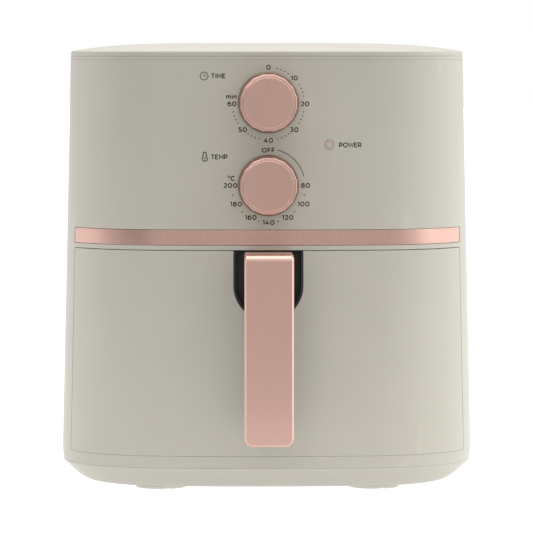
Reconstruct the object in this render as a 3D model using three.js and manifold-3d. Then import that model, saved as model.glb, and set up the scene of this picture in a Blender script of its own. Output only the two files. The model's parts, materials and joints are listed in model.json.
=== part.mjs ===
// A dial air fryer with a pull-out drawer, as an assembly of separate pieces.
// Millimetres, +Z up, the front faces -Y. The floor is z = 0.
import * as THREE from "three";
import { mergeVertices } from "three/addons/utils/BufferGeometryUtils.js";
import Module from "manifold-3d";

const wasm = await Module();
wasm.setup();

// ------------------------------------------------------------------ driving dimensions

const GAP = 0.3; // between pieces that touch
const SEAM = 0.5; // visible parting lines
const FACE_STEPS = 6; // facets across the body's crowned faces
const CORNER_STEPS = 7; // and round each of its corners
const ROUND_STEPS = 5; // round each corner of the pan, the chamber and the plate

const body = {
  width: 299, // at the widest level, the foot of the drawer
  depth: 300, // front face to back face, on the centre line
  faceRadius: 600, // crown of the front and back faces
  cornerRadius: 80,
  wall: 2.6,
  sideDraft: 0.0237, // each side leans in by this much per mm of height, above the sill
  sillDraft: 0.1, // and below it
};
const stack = {
  foot: 2.7,
  bevel: 15.1, // the turned-in lower edge of the base
  sill: 8.8,
  drawer: 147.4,
  bandGap: 3.2,
  band: 11.4,
  controls: 121,
  lidRim: 6,
  lidCrown: 5.9,
};
const opening = {
  wrap: 52, // how far the drawer front wraps back round the corners
  ledge: 2.3, // thickness of the ledges above and below the drawer
  ledgeDepth: 17, // from the body's outer face
  web: 2.5, // side walls that frame the opening
};
const band = { recess: 1.6, thickness: 1, overlap: 1 };
const lid = { wall: 2.2, lipWall: 2, lipDepth: 7, groove: 0.8, grooveHeight: 0.5, bead: 1.8 };
const base = {
  wall: 2.3,
  floor: 2.3,
  lipHeight: 5,
  lipWall: 2,
  post: 5, // radius of the posts that carry the chamber
  postFromWall: 25, // chamber wall to post axis
  postFromAxis: 80, // fan axis to post axis, front and back
  slots: 6,
  slotWidth: 4,
  slotPitch: 12,
  slotLength: 60,
};
const foot = { radius: 19, edge: 1.2, stem: 4, head: 5.6, headHeight: 3.5, fromSide: 72.5, fromFront: 50 };
const rearVent = {
  halfWidth: 57.5,
  height: 50,
  belowSeam: 47, // top of the vent below the lid seam
  flange: 4.5,
  proud: 8,
  louvres: 7,
  louvreGap: 4.6,
  frame: 4, // solid rim beside the louvres
  behindWall: 3, // how far the neck reaches inside the wall
};
const duct = { wall: 1.5, inset: 1.5 };
const gland = { x: 62, z: 48, stem: 7.7, flange: 11, flangeThickness: 3.2, bore: 3.8, inner: 2.4, nut: 1.6 };
const dial = {
  collarRadius: 21.75,
  collarThickness: 2.2,
  neckRadius: 10.2,
  neckBore: 8,
  capFlat: 39.8, // across the flats
  capHeight: 15,
  capWall: 2,
  capBevel: 2,
  facets: 16,
  hub: 6.5,
  shaft: 3,
  pointerWidth: 1.1,
  pointerLength: 7.4,
  pointerDepth: 0.5,
  timerBelowSeam: 30.8,
  pitch: 58.8, // timer axis to temperature axis
};
const bracket = { halfWidth: 28, plate: 1.5, behindFace: 6.8, margin: 23, shaftHole: 5 };
const timer = { radius: 25, depth: 28, bellRadius: 17, bellDepth: 8.5, bellWall: 1.2 };
const thermostat = { halfWidth: 19, halfHeight: 16, depth: 23, socket: 8, tab: 7 };
const capillary = { tube: 1.2, bulb: 3, bulbLength: 9, outside: 12.5 };
const lamp = { x: 43.5, belowSeam: 60.6, lens: 3.1, proud: 0.5, depth: 8, bulb: 4, bulbDepth: 11 };
const chamber = { sideSpace: 22, rearSpace: 34, wall: 0.8, cornerRadius: 45, below: 1.7 };
const microswitch = {
  x: 75,
  left: 14,
  right: 10,
  halfDepth: 4,
  height: 13,
  pin: 1.5,
  blade: { sheet: 0.8, half: 2.5, length: 6 },
};
const fuse = { outside: 11, half: 4, height: 4.5, from: 38, to: 52, lead: 8, leadHalf: 1 };
const terminals = { outside: 12, half: 8, from: 30, count: 3, pitch: 12, height: 13, screw: 2.6, entry: 2.5 };
const reflector = {
  rim: 4, // how far the flange passes the chamber's wall
  sheet: 0.8,
  domeMargin: 29, // chamber wall to dome
  domeHeight: 30,
  taper: 11,
  shaftHole: 6,
};
const element = { tube: 3.25, margin: 14.2, pitch: 8.5, turns: 2, drop: 7, riser: 12, hole: 4.2 };
const clip = { sheet: 1.2, reach: 16, halfWidth: 4, outside: 1.6, belowDome: 11 };
const guard = { wire: 2.5, rings: 3, ringPitch: 24, margin: 2.5, drop: 5.1, bars: 3 };
const fan = {
  hotClear: 6.05, // blade tips to the element's inner riser
  hotBlades: 8,
  coolClear: 3.5,
  coolBlades: 7,
  hub: 8,
  sheet: 1.2,
  bladeHeight: 11,
  discMargin: 20, // blade tips to the edge of the disc that carries them
};
const motor = {
  shaft: 2.5,
  bridgeHalfLength: 28,
  bridgeClear: 10,
  bridgeHeight: 51,
  coreHalf: 32,
  coreHeight: 20,
  bore: 14.5,
  leg: 9,
  coil: 4.6,
  bush: 6,
};
const drawer = {
  wall: 2.5,
  innerFrom: 12, // the inner panel's back wall, from the body's outer face
  innerTo: 14,
  plate: 2,
};
const scoop = { halfWidth: 24.9, straight: 25.4, depth: 11, wall: 1.4 };
const handle = {
  width: 34.7,
  reach: 42, // in front of the body's face
  grip: 13,
  arm: 12.8,
  skinFront: 5.5,
  skinTop: 4,
  topBevel: 4.2,
  footAbove: 10.9, // lower end above the sill
  below: 1.2, // top below the drawer opening's top
  cornerRadius: 6,
  coreInset: 1.15,
  fillet: 8,
  screwX: 8,
  screwShank: 1.8,
  screwHead: 3.6,
  screwGrip: 11,
};
const pan = {
  wall: 1.2,
  sideClear: 6,
  rearClear: 6,
  frontClear: 7.684, // to the inner panel, where the pan's straight front edge ends
  cornerRadius: 55,
  above: 2.4, // floor clearance over the sill
  height: 122,
  taper: 6,
  rim: 3.5,
  rimHeight: 1.5,
};
const rail = { height: 9.4, leg: 1.4, behindWrap: 20.5, beforeCorner: 8.5, below: 0.6, clear: 1.2 };
const panBracket = { halfWidth: 40, sheet: 1.5, drop: 46, hook: 4 };
const plate = { sheet: 1.6, above: 11.5, clear: 4.4, columns: 4, rows: 6, slotLength: 34, slotWidth: 7 };
const bumper = { width: 18, inner: 6.5, height: 15, bite: 3.5, clear: 0.7 };
const liftRing = { radius: 9, wire: 1.6 };

// ------------------------------------------------------------------ levels and places

const creaseZ = stack.foot + stack.bevel;
const sillZ = creaseZ + stack.sill;
const drawerTopZ = sillZ + stack.drawer;
const bandZ = drawerTopZ + stack.bandGap;
const bandTopZ = bandZ + stack.band;
const lidZ = bandTopZ + stack.controls;
const rimZ = lidZ + stack.lidRim;

const frontY = -body.depth / 2;
const backY = body.depth / 2;
const wrapY = frontY + opening.wrap;
const far = 2 * (body.width + body.depth); // larger than anything, for cutting boxes

const ledgeZ = sillZ - opening.ledge; // underside of the lower ledge and of the chamber's floor
const chamberHalf = halfWidth(drawerTopZ) - chamber.sideSpace;
const chamberBackY = backY - chamber.rearSpace;
const chamberTopZ = drawerTopZ - chamber.below;
const panHalf = chamberHalf - pan.sideClear;
const panFrontY = frontY + drawer.innerTo + crownDrop(panHalf - pan.cornerRadius) + pan.frontClear;
const panBackY = chamberBackY - pan.rearClear;
const panZ = sillZ + pan.above;
const panTopZ = panZ + pan.height;
const heaterY = (panFrontY + panBackY) / 2;
const flangeZ = chamberTopZ + GAP;
const domeRadius = Math.min(chamberHalf, (panBackY - panFrontY) / 2) - reflector.domeMargin + pan.sideClear;
const timerZ = lidZ - dial.timerBelowSeam;
const temperatureZ = timerZ - dial.pitch;
const ventTopZ = lidZ - rearVent.belowSeam;
const ventZ = ventTopZ - rearVent.height;
const handleTopZ = drawerTopZ - handle.below;
const handleFootZ = sillZ + handle.footAbove;
const handleFrontY = frontY - handle.reach;
const scoopZ = drawerTopZ - scoop.straight; // centre of the scoop's round lower end
const scoopFloorY = frontY + scoop.depth;

// ------------------------------------------------------------------ solids from three.js geometry

// A closed three.js geometry as a manifold solid.
function solid(geometry) {
  const bare = geometry.clone();
  bare.deleteAttribute("normal");
  bare.deleteAttribute("uv");
  const merged = mergeVertices(bare, 1e-4);
  const made = new wasm.Manifold(
    new wasm.Mesh({
      numProp: 3,
      vertProperties: new Float32Array(merged.attributes.position.array),
      triVerts: new Uint32Array(merged.index.array),
    }),
  );
  if (made.volume() <= 0) throw new Error("a profile runs the wrong way round");
  return made;
}

// A manifold solid as a three.js geometry.
function geometryOf(made) {
  const mesh = made.getMesh();
  const geometry = new THREE.BufferGeometry();
  geometry.setAttribute("position", new THREE.BufferAttribute(new Float32Array(mesh.vertProperties), 3));
  geometry.setIndex(new THREE.BufferAttribute(new Uint32Array(mesh.triVerts), 1));
  const flat = geometry.toNonIndexed();
  flat.computeVertexNormals();
  return flat;
}

function box(x0, x1, y0, y1, z0, z1) {
  const geometry = new THREE.BoxGeometry(x1 - x0, y1 - y0, z1 - z0);
  return solid(geometry.translate((x0 + x1) / 2, (y0 + y1) / 2, (z0 + z1) / 2));
}

// A box given for the right side (+X), or its mirror image on the left.
function sideBox(side, x0, x1, ...rest) {
  return side > 0 ? box(x0, x1, ...rest) : box(-x1, -x0, ...rest);
}

function cylinderZ(radius, z0, z1, x = 0, y = 0, sides = 18) {
  const geometry = new THREE.CylinderGeometry(radius, radius, z1 - z0, sides).rotateX(Math.PI / 2);
  return solid(geometry.translate(x, y, (z0 + z1) / 2));
}

function cylinderY(radius, y0, y1, x = 0, z = 0, sides = 18) {
  const geometry = new THREE.CylinderGeometry(radius, radius, y1 - y0, sides);
  return solid(geometry.translate(x, (y0 + y1) / 2, z));
}

// A body of revolution about Z from (radius, z) points that run counter-clockwise.
function turned(points, sides = 14) {
  const profile = points.map(([r, z]) => new THREE.Vector2(r, z));
  return solid(new THREE.LatheGeometry(profile, sides).rotateX(Math.PI / 2));
}

// The same about Y, from (radius, y) points.
function turnedY(points, sides = 16) {
  const profile = points.map(([r, y]) => new THREE.Vector2(r, y));
  return solid(new THREE.LatheGeometry(profile, sides));
}

// The points of a ring profile, closed on itself.
const closed = (points) => [...points, points[0]];

function shapeOf(points) {
  return new THREE.Shape(points.map(([a, b]) => new THREE.Vector2(a, b)));
}

function extrudeGeometry(shape, depth) {
  return new THREE.ExtrudeGeometry(shape, { depth, bevelEnabled: false, curveSegments: 8 });
}

// A shape in (x, y), raised along Z.
function extrudeZ(shape, z0, z1) {
  return solid(extrudeGeometry(shape, z1 - z0).translate(0, 0, z0));
}

// A shape in (y, z), drawn out along X.
function extrudeX(shape, x0, x1) {
  const turn = new THREE.Matrix4().set(0, 0, 1, x0, 1, 0, 0, 0, 0, 1, 0, 0, 0, 0, 0, 1);
  return solid(extrudeGeometry(shape, x1 - x0).applyMatrix4(turn));
}

// A shape in (x, z), drawn out along Y.
function extrudeY(shape, y0, y1) {
  return solid(extrudeGeometry(shape, y1 - y0).rotateX(Math.PI / 2).translate(0, y1, 0));
}

function tube(points, radius, steps, sides = 8) {
  const path = new THREE.CatmullRomCurve3(points, false, "centripetal");
  const section = new THREE.Shape();
  section.absarc(0, 0, radius, 0, 2 * Math.PI);
  const options = { steps, extrudePath: path, bevelEnabled: false, curveSegments: sides / 2 };
  return solid(new THREE.ExtrudeGeometry(section, options));
}

// A closed solid through rings of equal point count, lowest first, each counter-clockwise from above.
function loft(rings) {
  const count = rings[0].length;
  const top = (rings.length - 1) * count;
  const index = [];
  for (let row = 0; row < top; row += count) {
    for (let i = 0; i < count; i++) {
      const a = row + i;
      const b = row + ((i + 1) % count);
      index.push(a, b, b + count, a, b + count, a + count);
    }
  }
  const cap = THREE.ShapeUtils.triangulateShape(rings[0], []);
  for (const [a, b, c] of cap) index.push(c, b, a);
  for (const [a, b, c] of cap) index.push(top + a, top + b, top + c);
  const geometry = new THREE.BufferGeometry().setFromPoints(rings.flat());
  geometry.setIndex(index);
  return solid(geometry);
}

// ------------------------------------------------------------------ the body's outline

// The body's half width at a height.
function halfWidth(z) {
  const draft = z > sillZ ? body.sideDraft : -body.sillDraft;
  return body.width / 2 - (z - sillZ) * draft;
}

// Points of an arc, its angles counted from the front (-Y) towards the right (+X).
function arcPoints(x, y, radius, from, to, segments, z) {
  return Array.from({ length: segments + 1 }, (_, i) => {
    const angle = from + ((to - from) * i) / segments;
    return new THREE.Vector3(x + radius * Math.sin(angle), y - radius * Math.cos(angle), z);
  });
}

// The plan outline at a height, moved in by inset: crowned front and back, straight sides, round corners.
function bodyRing(z, inset = 0) {
  const cornerX = halfWidth(z) - body.cornerRadius;
  const span = body.faceRadius - body.cornerRadius;
  const lean = Math.asin(cornerX / span);
  const faceY = frontY + body.faceRadius;
  const cornerY = faceY - span * Math.cos(lean);
  const face = body.faceRadius - inset;
  const corner = body.cornerRadius - inset;
  const side = Math.PI / 2;
  const arcs = [
    arcPoints(0, faceY, face, -lean, lean, FACE_STEPS, z).slice(0, -1),
    arcPoints(cornerX, cornerY, corner, lean, side, CORNER_STEPS, z),
    arcPoints(cornerX, -cornerY, corner, side, 2 * side - lean, CORNER_STEPS, z).slice(0, -1),
    arcPoints(0, -faceY, face, 2 * side - lean, 2 * side + lean, FACE_STEPS, z).slice(0, -1),
    arcPoints(-cornerX, -cornerY, corner, 2 * side + lean, 3 * side, CORNER_STEPS, z),
    arcPoints(-cornerX, cornerY, corner, 3 * side, 4 * side - lean, CORNER_STEPS, z).slice(0, -1),
  ];
  return arcs.flat();
}

// A solid of the body's outline through [height, inset] levels.
const bodySolid = (levels) => loft(levels.map(([z, inset]) => bodyRing(z, inset)));

// A wall that follows the outline between two insets.
function bodyWall(z0, z1, outer, inner) {
  const levels = (inset, over) => [
    [z0 - over, inset],
    [z1 + over, inset],
  ];
  return bodySolid(levels(outer, 0)).subtract(bodySolid(levels(inner, 1)));
}

// The body's crown: how far the front face falls back at a distance from the centre line.
function crownDrop(x) {
  return body.faceRadius - Math.sqrt(body.faceRadius ** 2 - x ** 2);
}

const inFrontOf = (y) => box(-far, far, -far, y, -far, far);

// A plan outline with four round corners, between two Y values, moved in by inset.
function roundedRing(half, y0, y1, radius, z, inset = 0) {
  const r = radius - inset;
  const x = half - radius;
  const side = Math.PI / 2;
  return [
    arcPoints(x, y0 + radius, r, 0, side, ROUND_STEPS, z),
    arcPoints(x, y1 - radius, r, side, 2 * side, ROUND_STEPS, z),
    arcPoints(-x, y1 - radius, r, 2 * side, 3 * side, ROUND_STEPS, z),
    arcPoints(-x, y0 + radius, r, 3 * side, 4 * side, ROUND_STEPS, z),
  ].flat();
}

// ------------------------------------------------------------------ materials

const finish = (color, roughness, metalness = 0) => () =>
  new THREE.MeshStandardMaterial({ color, roughness, metalness });
const cream = finish(0xb9b4a8, 0.5);
const roseGold = finish(0xc08d7c, 0.3, 0.8);
const blackPlastic = finish(0x202020, 0.5);
const greyPlastic = finish(0x55534f, 0.6);
const rubber = finish(0x8d877c, 0.9);
const steel = finish(0xb4b6b8, 0.35, 1);
const sheetSteel = finish(0x9a9c9e, 0.45, 1);
const darkCoat = finish(0x2c2c2e, 0.45, 0.3);
const copper = finish(0xa8623c, 0.4, 1);
const silicone = finish(0x3a3a3c, 0.8);
const aluminium = finish(0xc8cacc, 0.4, 1);
const brass = finish(0xb89a55, 0.35, 1);
const whiteCeramic = finish(0xe4e0d6, 0.6);
const lensPlastic = finish(0xc8a591, 0.3);

// ------------------------------------------------------------------ housing shells

function mainHousing() {
  const outer = bodySolid([
    [creaseZ + GAP, 0],
    [sillZ, 0],
    [lidZ - SEAM, 0],
  ]);
  const hollow = bodySolid([
    [creaseZ - 1, body.wall],
    [sillZ, body.wall],
    [lidZ + 1, body.wall],
  ]);
  const shell = outer
    .subtract(hollow)
    .subtract(box(-far, far, -far, wrapY, sillZ, drawerTopZ));
  return shell
    .add(openingFrame())
    .subtract(bandGroove())
    .subtract(housingHoles());
}

// The ledges above and below the drawer, and the side walls between them.
function openingFrame() {
  const ledge = (z0, z1) =>
    bodyWall(z0, z1, body.wall / 2, opening.ledgeDepth).intersect(inFrontOf(wrapY + opening.web));
  const lower = ledge(ledgeZ, sillZ);
  const upper = ledge(drawerTopZ, drawerTopZ + opening.ledge);
  const inner = chamberHalf + chamber.wall + GAP;
  const web = (side) =>
    sideBox(side, inner, far, wrapY, wrapY + opening.web, ledgeZ, drawerTopZ + opening.ledge);
  const profile = bodySolid([
    [ledgeZ - 1, body.wall / 2],
    [drawerTopZ + opening.ledge + 1, body.wall / 2],
  ]);
  const webs = web(1).add(web(-1)).intersect(profile);
  return lower.add(upper).add(webs);
}

function bandGroove() {
  return bodyWall(bandZ, bandTopZ, -1, band.recess).intersect(inFrontOf(wrapY + band.overlap));
}

function housingHoles() {
  const through = body.wall * 4;
  const neck = (z) => cylinderY(dial.neckRadius + GAP, frontY - 2, frontY + through, 0, z);
  const lens = cylinderY(lamp.lens + GAP, frontY - 2, frontY + through, lamp.x, lidZ - lamp.belowSeam);
  const vent = box(-rearVent.halfWidth - GAP, rearVent.halfWidth + GAP, backY - through, backY + 2,
    ventZ - GAP, ventTopZ + GAP);
  const cord = cylinderY(gland.stem + GAP, backY - 2 * through, backY + 2, gland.x, gland.z);
  return neck(timerZ).add(neck(temperatureZ)).add(lens).add(vent).add(cord).add(switchPinHole());
}

function trimBand() {
  return bodyWall(bandZ + GAP, bandTopZ - GAP, GAP, GAP + band.thickness)
    .intersect(inFrontOf(wrapY + band.overlap - GAP));
}

// The cover's dome: rings that shrink towards the middle as they rise.
function domeRings(rim, crown, inset, shrink) {
  const steepness = 4.5;
  return shrink.map((k) => {
    const z = rim + crown * (1 - k ** steepness);
    return bodyRing(rimZ, inset).map((point) => new THREE.Vector3(point.x * k, point.y * k, z));
  });
}

function topCover() {
  const lip = body.wall + 2 * GAP;
  const grooveZ = lidZ + lid.bead;
  const side = [
    [lidZ - lid.lipDepth, lip],
    [lidZ, lip],
    [lidZ, 0],
    [grooveZ, 0],
    [grooveZ, lid.groove],
    [grooveZ + lid.grooveHeight, lid.groove],
    [grooveZ + lid.grooveHeight, 0],
    [rimZ - 1, 0],
  ].map(([z, inset]) => bodyRing(z, inset));
  const dome = domeRings(rimZ, stack.lidCrown, 0.6, [1, 0.97, 0.92, 0.84, 0.7, 0.45]);
  const inner = lip + lid.lipWall;
  const ceiling = domeRings(rimZ - lid.wall, stack.lidCrown, inner, [1, 0.84, 0.6]);
  return loft([...side, ...dome]).subtract(loft([bodyRing(lidZ - lid.lipDepth - 1, inner), ...ceiling]));
}

// The base's outer profile as [height above its underside, inset], from the crease down.
function baseLevels() {
  const h = stack.bevel;
  return [
    [0, 24],
    [0.7, 18.5],
    [0.15 * h, 14.5],
    [0.35 * h, 10],
    [0.65 * h, 5.2],
    [h, 0],
  ];
}

function baseTray() {
  const lip = body.wall + 2 * GAP;
  const lipTop = creaseZ + base.lipHeight;
  const outer = baseLevels().map(([z, inset]) => [stack.foot + z, inset]);
  const inner = baseLevels().filter((_, i) => i > 2 || i === 0);
  const hollow = inner.slice(0, -1).map(([z, inset]) => [stack.foot + z + base.floor, inset + base.wall]);
  let tray = bodySolid([...outer, [creaseZ, lip], [lipTop, lip]])
    .subtract(bodySolid([...hollow, [creaseZ, lip + base.lipWall], [lipTop + 1, lip + base.lipWall]]));
  for (const [x, y] of corners(chamberHalf - base.postFromWall, base.postFromAxis)) {
    tray = tray.add(cylinderZ(base.post, stack.foot + 1, ledgeZ - GAP, x, heaterY + y, 16));
  }
  for (const [x, y] of footPlaces()) {
    tray = tray.subtract(cylinderZ(foot.stem + GAP, 0, creaseZ, x, y, 16));
  }
  for (let i = 0; i < base.slots; i++) {
    const x = (i - (base.slots - 1) / 2) * base.slotPitch;
    const half = base.slotWidth / 2;
    tray = tray.subtract(box(x - half, x + half, -base.slotLength / 2, base.slotLength / 2, 0, creaseZ));
  }
  return tray;
}

const corners = (x, y) => [[-x, -y], [x, -y], [-x, y], [x, y]];

function footPlaces() {
  return corners(body.width / 2 - foot.fromSide, body.depth / 2 - foot.fromFront);
}

// A round rubber foot with a stem that snaps through the base.
function rubberFoot() {
  const pad = stack.foot - GAP;
  const floor = stack.foot + base.floor + GAP;
  return turned([
    [0, 0],
    [foot.radius - foot.edge, 0],
    [foot.radius, foot.edge],
    [foot.radius, pad],
    [foot.stem, pad],
    [foot.stem, floor],
    [foot.head, floor],
    [foot.stem - 1, floor + foot.headHeight],
    [0, floor + foot.headHeight],
  ]);
}

// ------------------------------------------------------------------ rear of the housing

// The back face's position at a distance from the centre line.
const backFace = (x) => backY - crownDrop(x);

function rearVentGrille() {
  const half = rearVent.halfWidth;
  const neck = box(-half, half, ventInnerY(), backY + 1, ventZ, ventTopZ);
  const hood = box(-half - rearVent.flange, half + rearVent.flange, backY + GAP, backY + rearVent.proud,
    ventZ - rearVent.flange, ventTopZ + rearVent.flange);
  let grille = neck.add(hood);
  const pitch = rearVent.height / rearVent.louvres;
  for (let i = 0; i < rearVent.louvres; i++) {
    const z = ventZ + pitch * (i + 0.5);
    grille = grille.subtract(
      box(-half + rearVent.frame, half - rearVent.frame, ventInnerY() - 1, backY + rearVent.proud + 1,
        z - rearVent.louvreGap / 2, z + rearVent.louvreGap / 2),
    );
  }
  return grille;
}

function ventInnerY() {
  return backFace(rearVent.halfWidth) - body.wall - rearVent.behindWall;
}

// A rectangular duct from behind the dome to the rear vent.
function airDuct() {
  const half = rearVent.halfWidth - duct.inset;
  const y0 = heaterY + domeRadius + 1;
  const y1 = ventInnerY() - GAP;
  const outer = box(-half, half, y0, y1, ventZ + duct.inset, ventTopZ - duct.inset);
  const wall = duct.wall;
  const hollow = box(-half + wall, half - wall, y0 - 1, y1 + 1, ventZ + duct.inset + wall,
    ventTopZ - duct.inset - wall);
  return outer.subtract(hollow);
}

function cordGland() {
  const outside = backFace(gland.x - gland.flange) + GAP;
  const inside = backFace(gland.x + gland.flange) - body.wall - GAP;
  return turnedY(
    closed([
      [gland.bore, inside - gland.inner],
      [gland.stem + gland.nut, inside - gland.inner],
      [gland.stem + gland.nut, inside],
      [gland.stem, inside],
      [gland.stem, outside],
      [gland.flange, outside],
      [gland.flange - 1.5, outside + gland.flangeThickness],
      [gland.bore, outside + gland.flangeThickness],
    ]),
    16,
  );
}

// ------------------------------------------------------------------ dials (origin on the axis at the face)

const shaftTip = 3; // the shaft ends this far inside the cap's front
const capBackY = -(GAP + dial.collarThickness + SEAM);
const capFrontY = capBackY - dial.capHeight;
const unitY = bracket.behindFace + bracket.plate + GAP;

function dialCollar() {
  return turnedY(
    closed([
      [dial.neckBore, -GAP - dial.collarThickness],
      [dial.collarRadius - 0.8, -GAP - dial.collarThickness],
      [dial.collarRadius, -GAP - dial.collarThickness + 1.4],
      [dial.collarRadius, -GAP],
      [dial.neckRadius, -GAP],
      [dial.neckRadius, bracket.behindFace - GAP],
      [dial.neckBore, bracket.behindFace - GAP],
    ]),
    20,
  );
}

// A many-sided cap with a bevelled front edge, hollow from behind, with a hub for the shaft.
function dialKnob() {
  const radius = dial.capFlat / 2 / Math.cos(Math.PI / dial.facets);
  const straight = dial.capHeight - dial.capBevel;
  const prism = (r0, r1, y0, y1) => {
    const geometry = new THREE.CylinderGeometry(r1, r0, y1 - y0, dial.facets);
    return solid(geometry.rotateY(Math.PI / dial.facets).translate(0, (y0 + y1) / 2, 0));
  };
  const side = prism(radius, radius, capBackY - straight, capBackY);
  const front = prism(radius - dial.capBevel, radius, capFrontY, capBackY - straight);
  const inner = radius - dial.capWall;
  const hollow = prism(inner, inner, capFrontY + dial.capWall + 1, capBackY + 1);
  const hub = cylinderY(dial.hub, capFrontY + 1, capBackY - 0.5);
  const bore = cylinderY(dial.shaft + GAP, capFrontY + shaftTip, capBackY + 1);
  const pointerTop = dial.capFlat / 2 - dial.capBevel - 3;
  const pointer = box(-dial.pointerWidth / 2, dial.pointerWidth / 2, capFrontY - 1,
    capFrontY + dial.pointerDepth, pointerTop - dial.pointerLength, pointerTop);
  return side.add(front).subtract(hollow).add(hub).subtract(bore).subtract(pointer);
}

// The shaft of a dial, with the flat that keys the knob.
function dialShaft() {
  const y0 = capFrontY + shaftTip + GAP;
  const round = cylinderY(dial.shaft, y0, unitY + thermostat.socket - 1);
  return round.subtract(box(-far, far, y0 - 1, y0 + 9, dial.shaft - 0.8, far));
}

// A blind hole for the shaft's inner end.
const shaftSocket = () => cylinderY(dial.shaft + GAP, unitY - 1, unitY + thermostat.socket);

function timerUnit() {
  const can = cylinderY(timer.radius, unitY, unitY + timer.depth, 0, 0, 32);
  const ear = box(-timer.radius - 5, timer.radius + 5, unitY, unitY + 1.5, -5, 5);
  return can.add(ear.intersect(box(-bracket.halfWidth, bracket.halfWidth, 0, far, -far, far)))
    .subtract(shaftSocket());
}

// A small bell behind the clockwork.
function timerBell() {
  const y = unitY + timer.depth + GAP;
  const r = timer.bellRadius;
  const wall = timer.bellWall;
  const rim = y + 1;
  const crown = y + timer.bellDepth;
  return turnedY([
    [0, y],
    [2.5, y],
    [2.5, crown - wall],
    [r * 0.6, crown - wall],
    [r - wall, rim + 1],
    [r - wall, rim],
    [r, rim],
    [r, rim + 1.6],
    [r * 0.65, crown],
    [0, crown],
  ]);
}

function thermostatUnit() {
  const w = thermostat.halfWidth;
  const h = thermostat.halfHeight;
  const can = box(-w, w, unitY, unitY + thermostat.depth, -h, h);
  const back = unitY + thermostat.depth;
  const tab = (side) => sideBox(side, 6, 9, back - 1, back + thermostat.tab, 4, 4.8);
  return can.add(tab(1)).add(tab(-1)).subtract(shaftSocket());
}

// The plate that carries both control units behind the front face.
function controlBracket() {
  const y = frontY + bracket.behindFace;
  const plateZ = temperatureZ - bracket.margin;
  const sheet = box(-bracket.halfWidth, bracket.halfWidth, y, y + bracket.plate, plateZ,
    timerZ + bracket.margin);
  const hole = (z) => cylinderY(bracket.shaftHole, y - 1, y + bracket.plate + 1, 0, z);
  return sheet.subtract(hole(timerZ)).subtract(hole(temperatureZ));
}

// The thermostat's sensing tube, down to its bulb inside the cooking space.
function bulbPlace() {
  const reach = domeRadius + capillary.outside;
  const angle = -0.62;
  return [reach * Math.cos(angle), heaterY + reach * Math.sin(angle)];
}

function thermostatCapillary() {
  const [x, y] = bulbPlace();
  const unitBack = frontY + unitY + thermostat.depth;
  const startZ = temperatureZ - 8;
  const route = [
    [12, unitBack + capillary.tube, startZ],
    [13, unitBack + 6, startZ],
    [x * 0.55, (unitBack + y) / 2 - 3, startZ - 7],
    [x * 0.92, y - 5, startZ - 14],
    [x, y, flangeZ + 12],
    [x, y, flangeZ - 1],
  ].map((p) => new THREE.Vector3(...p));
  const bulb = cylinderZ(capillary.bulb, flangeZ - 1.5 - capillary.bulbLength, flangeZ + 1.5, x, y, 12);
  return tube(route, capillary.tube, 24, 6).add(bulb);
}

function powerLens() {
  const y = frontY + crownDrop(lamp.x);
  const z = lidZ - lamp.belowSeam;
  const stem = cylinderY(lamp.lens, y - lamp.proud, y + lamp.depth, lamp.x, z);
  const stop = cylinderY(lamp.lens + 1.5, y + body.wall + 2 * GAP, y + body.wall + 1.8, lamp.x, z);
  return stem.add(stop);
}

function powerLamp() {
  const y = frontY + crownDrop(lamp.x) + lamp.depth + GAP;
  const z = lidZ - lamp.belowSeam;
  const bulb = cylinderY(lamp.bulb, y, y + lamp.bulbDepth, lamp.x, z, 16);
  return bulb.add(cylinderY(lamp.bulb + 1.2, y + 4, y + 5.5, lamp.x, z, 16));
}

// ------------------------------------------------------------------ cooking chamber

function innerChamber() {
  const half = chamberHalf + chamber.wall;
  const ring = (z, inset) => roundedRing(half, -far, chamberBackY + chamber.wall,
    chamber.cornerRadius + chamber.wall, z, inset);
  const outer = loft([ring(ledgeZ, 0), ring(chamberTopZ, 0)]);
  const hollow = loft([ring(ledgeZ + chamber.wall, chamber.wall), ring(chamberTopZ + 1, chamber.wall)]);
  return outer.subtract(hollow).intersect(behindLedges());
}

// The room behind the ledges that frame the drawer opening.
function behindLedges() {
  return bodySolid([
    [0, opening.ledgeDepth + GAP],
    [lidZ, opening.ledgeDepth + GAP],
  ]);
}

// An L-shaped rail on the chamber's side wall, under the pan's rim.
function drawerRail(side) {
  const top = panTopZ - pan.rimHeight - rail.below;
  const outer = chamberHalf - GAP;
  const inner = panHalf + rail.clear;
  const profile = shapeOf([
    [side * outer, top - rail.height],
    [side * outer, top],
    [side * inner, top],
    [side * inner, top - rail.leg],
    [side * (outer - rail.leg), top - rail.leg],
    [side * (outer - rail.leg), top - rail.height],
  ]);
  const end = chamberBackY - chamber.cornerRadius - rail.beforeCorner;
  return extrudeY(profile, wrapY + rail.behindWrap, end);
}

// The switch stands over the middle of the ledge.
function switchY() {
  return frontY + crownDrop(microswitch.x) + opening.ledgeDepth / 2 + 1;
}

// The hole in the upper ledge for the switch's pin.
function switchPinHole() {
  const { x, pin } = microswitch;
  return cylinderZ(pin + GAP, drawerTopZ - 1, drawerTopZ + opening.ledge + 1, x, switchY(), 12);
}

// A microswitch on the ledge, its pin held in by the closed drawer.
function safetySwitch() {
  const { x, left, right, halfDepth, height, blade } = microswitch;
  const y = switchY();
  const z = drawerTopZ + opening.ledge + GAP;
  const can = box(x - left, x + right, y - halfDepth, y + halfDepth, z, z + height);
  const pin = cylinderZ(microswitch.pin, drawerTopZ + 0.1, z + 1, x, y, 12);
  const bladeAt = (at) =>
    box(at, at + blade.sheet, y - blade.half, y + blade.half, z + height - 1, z + height + blade.length);
  return [x - 10, x - 2, x + 5].reduce((made, at) => made.add(bladeAt(at)), can.add(pin));
}

// ------------------------------------------------------------------ heater (origin: flange, fan axis)

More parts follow.
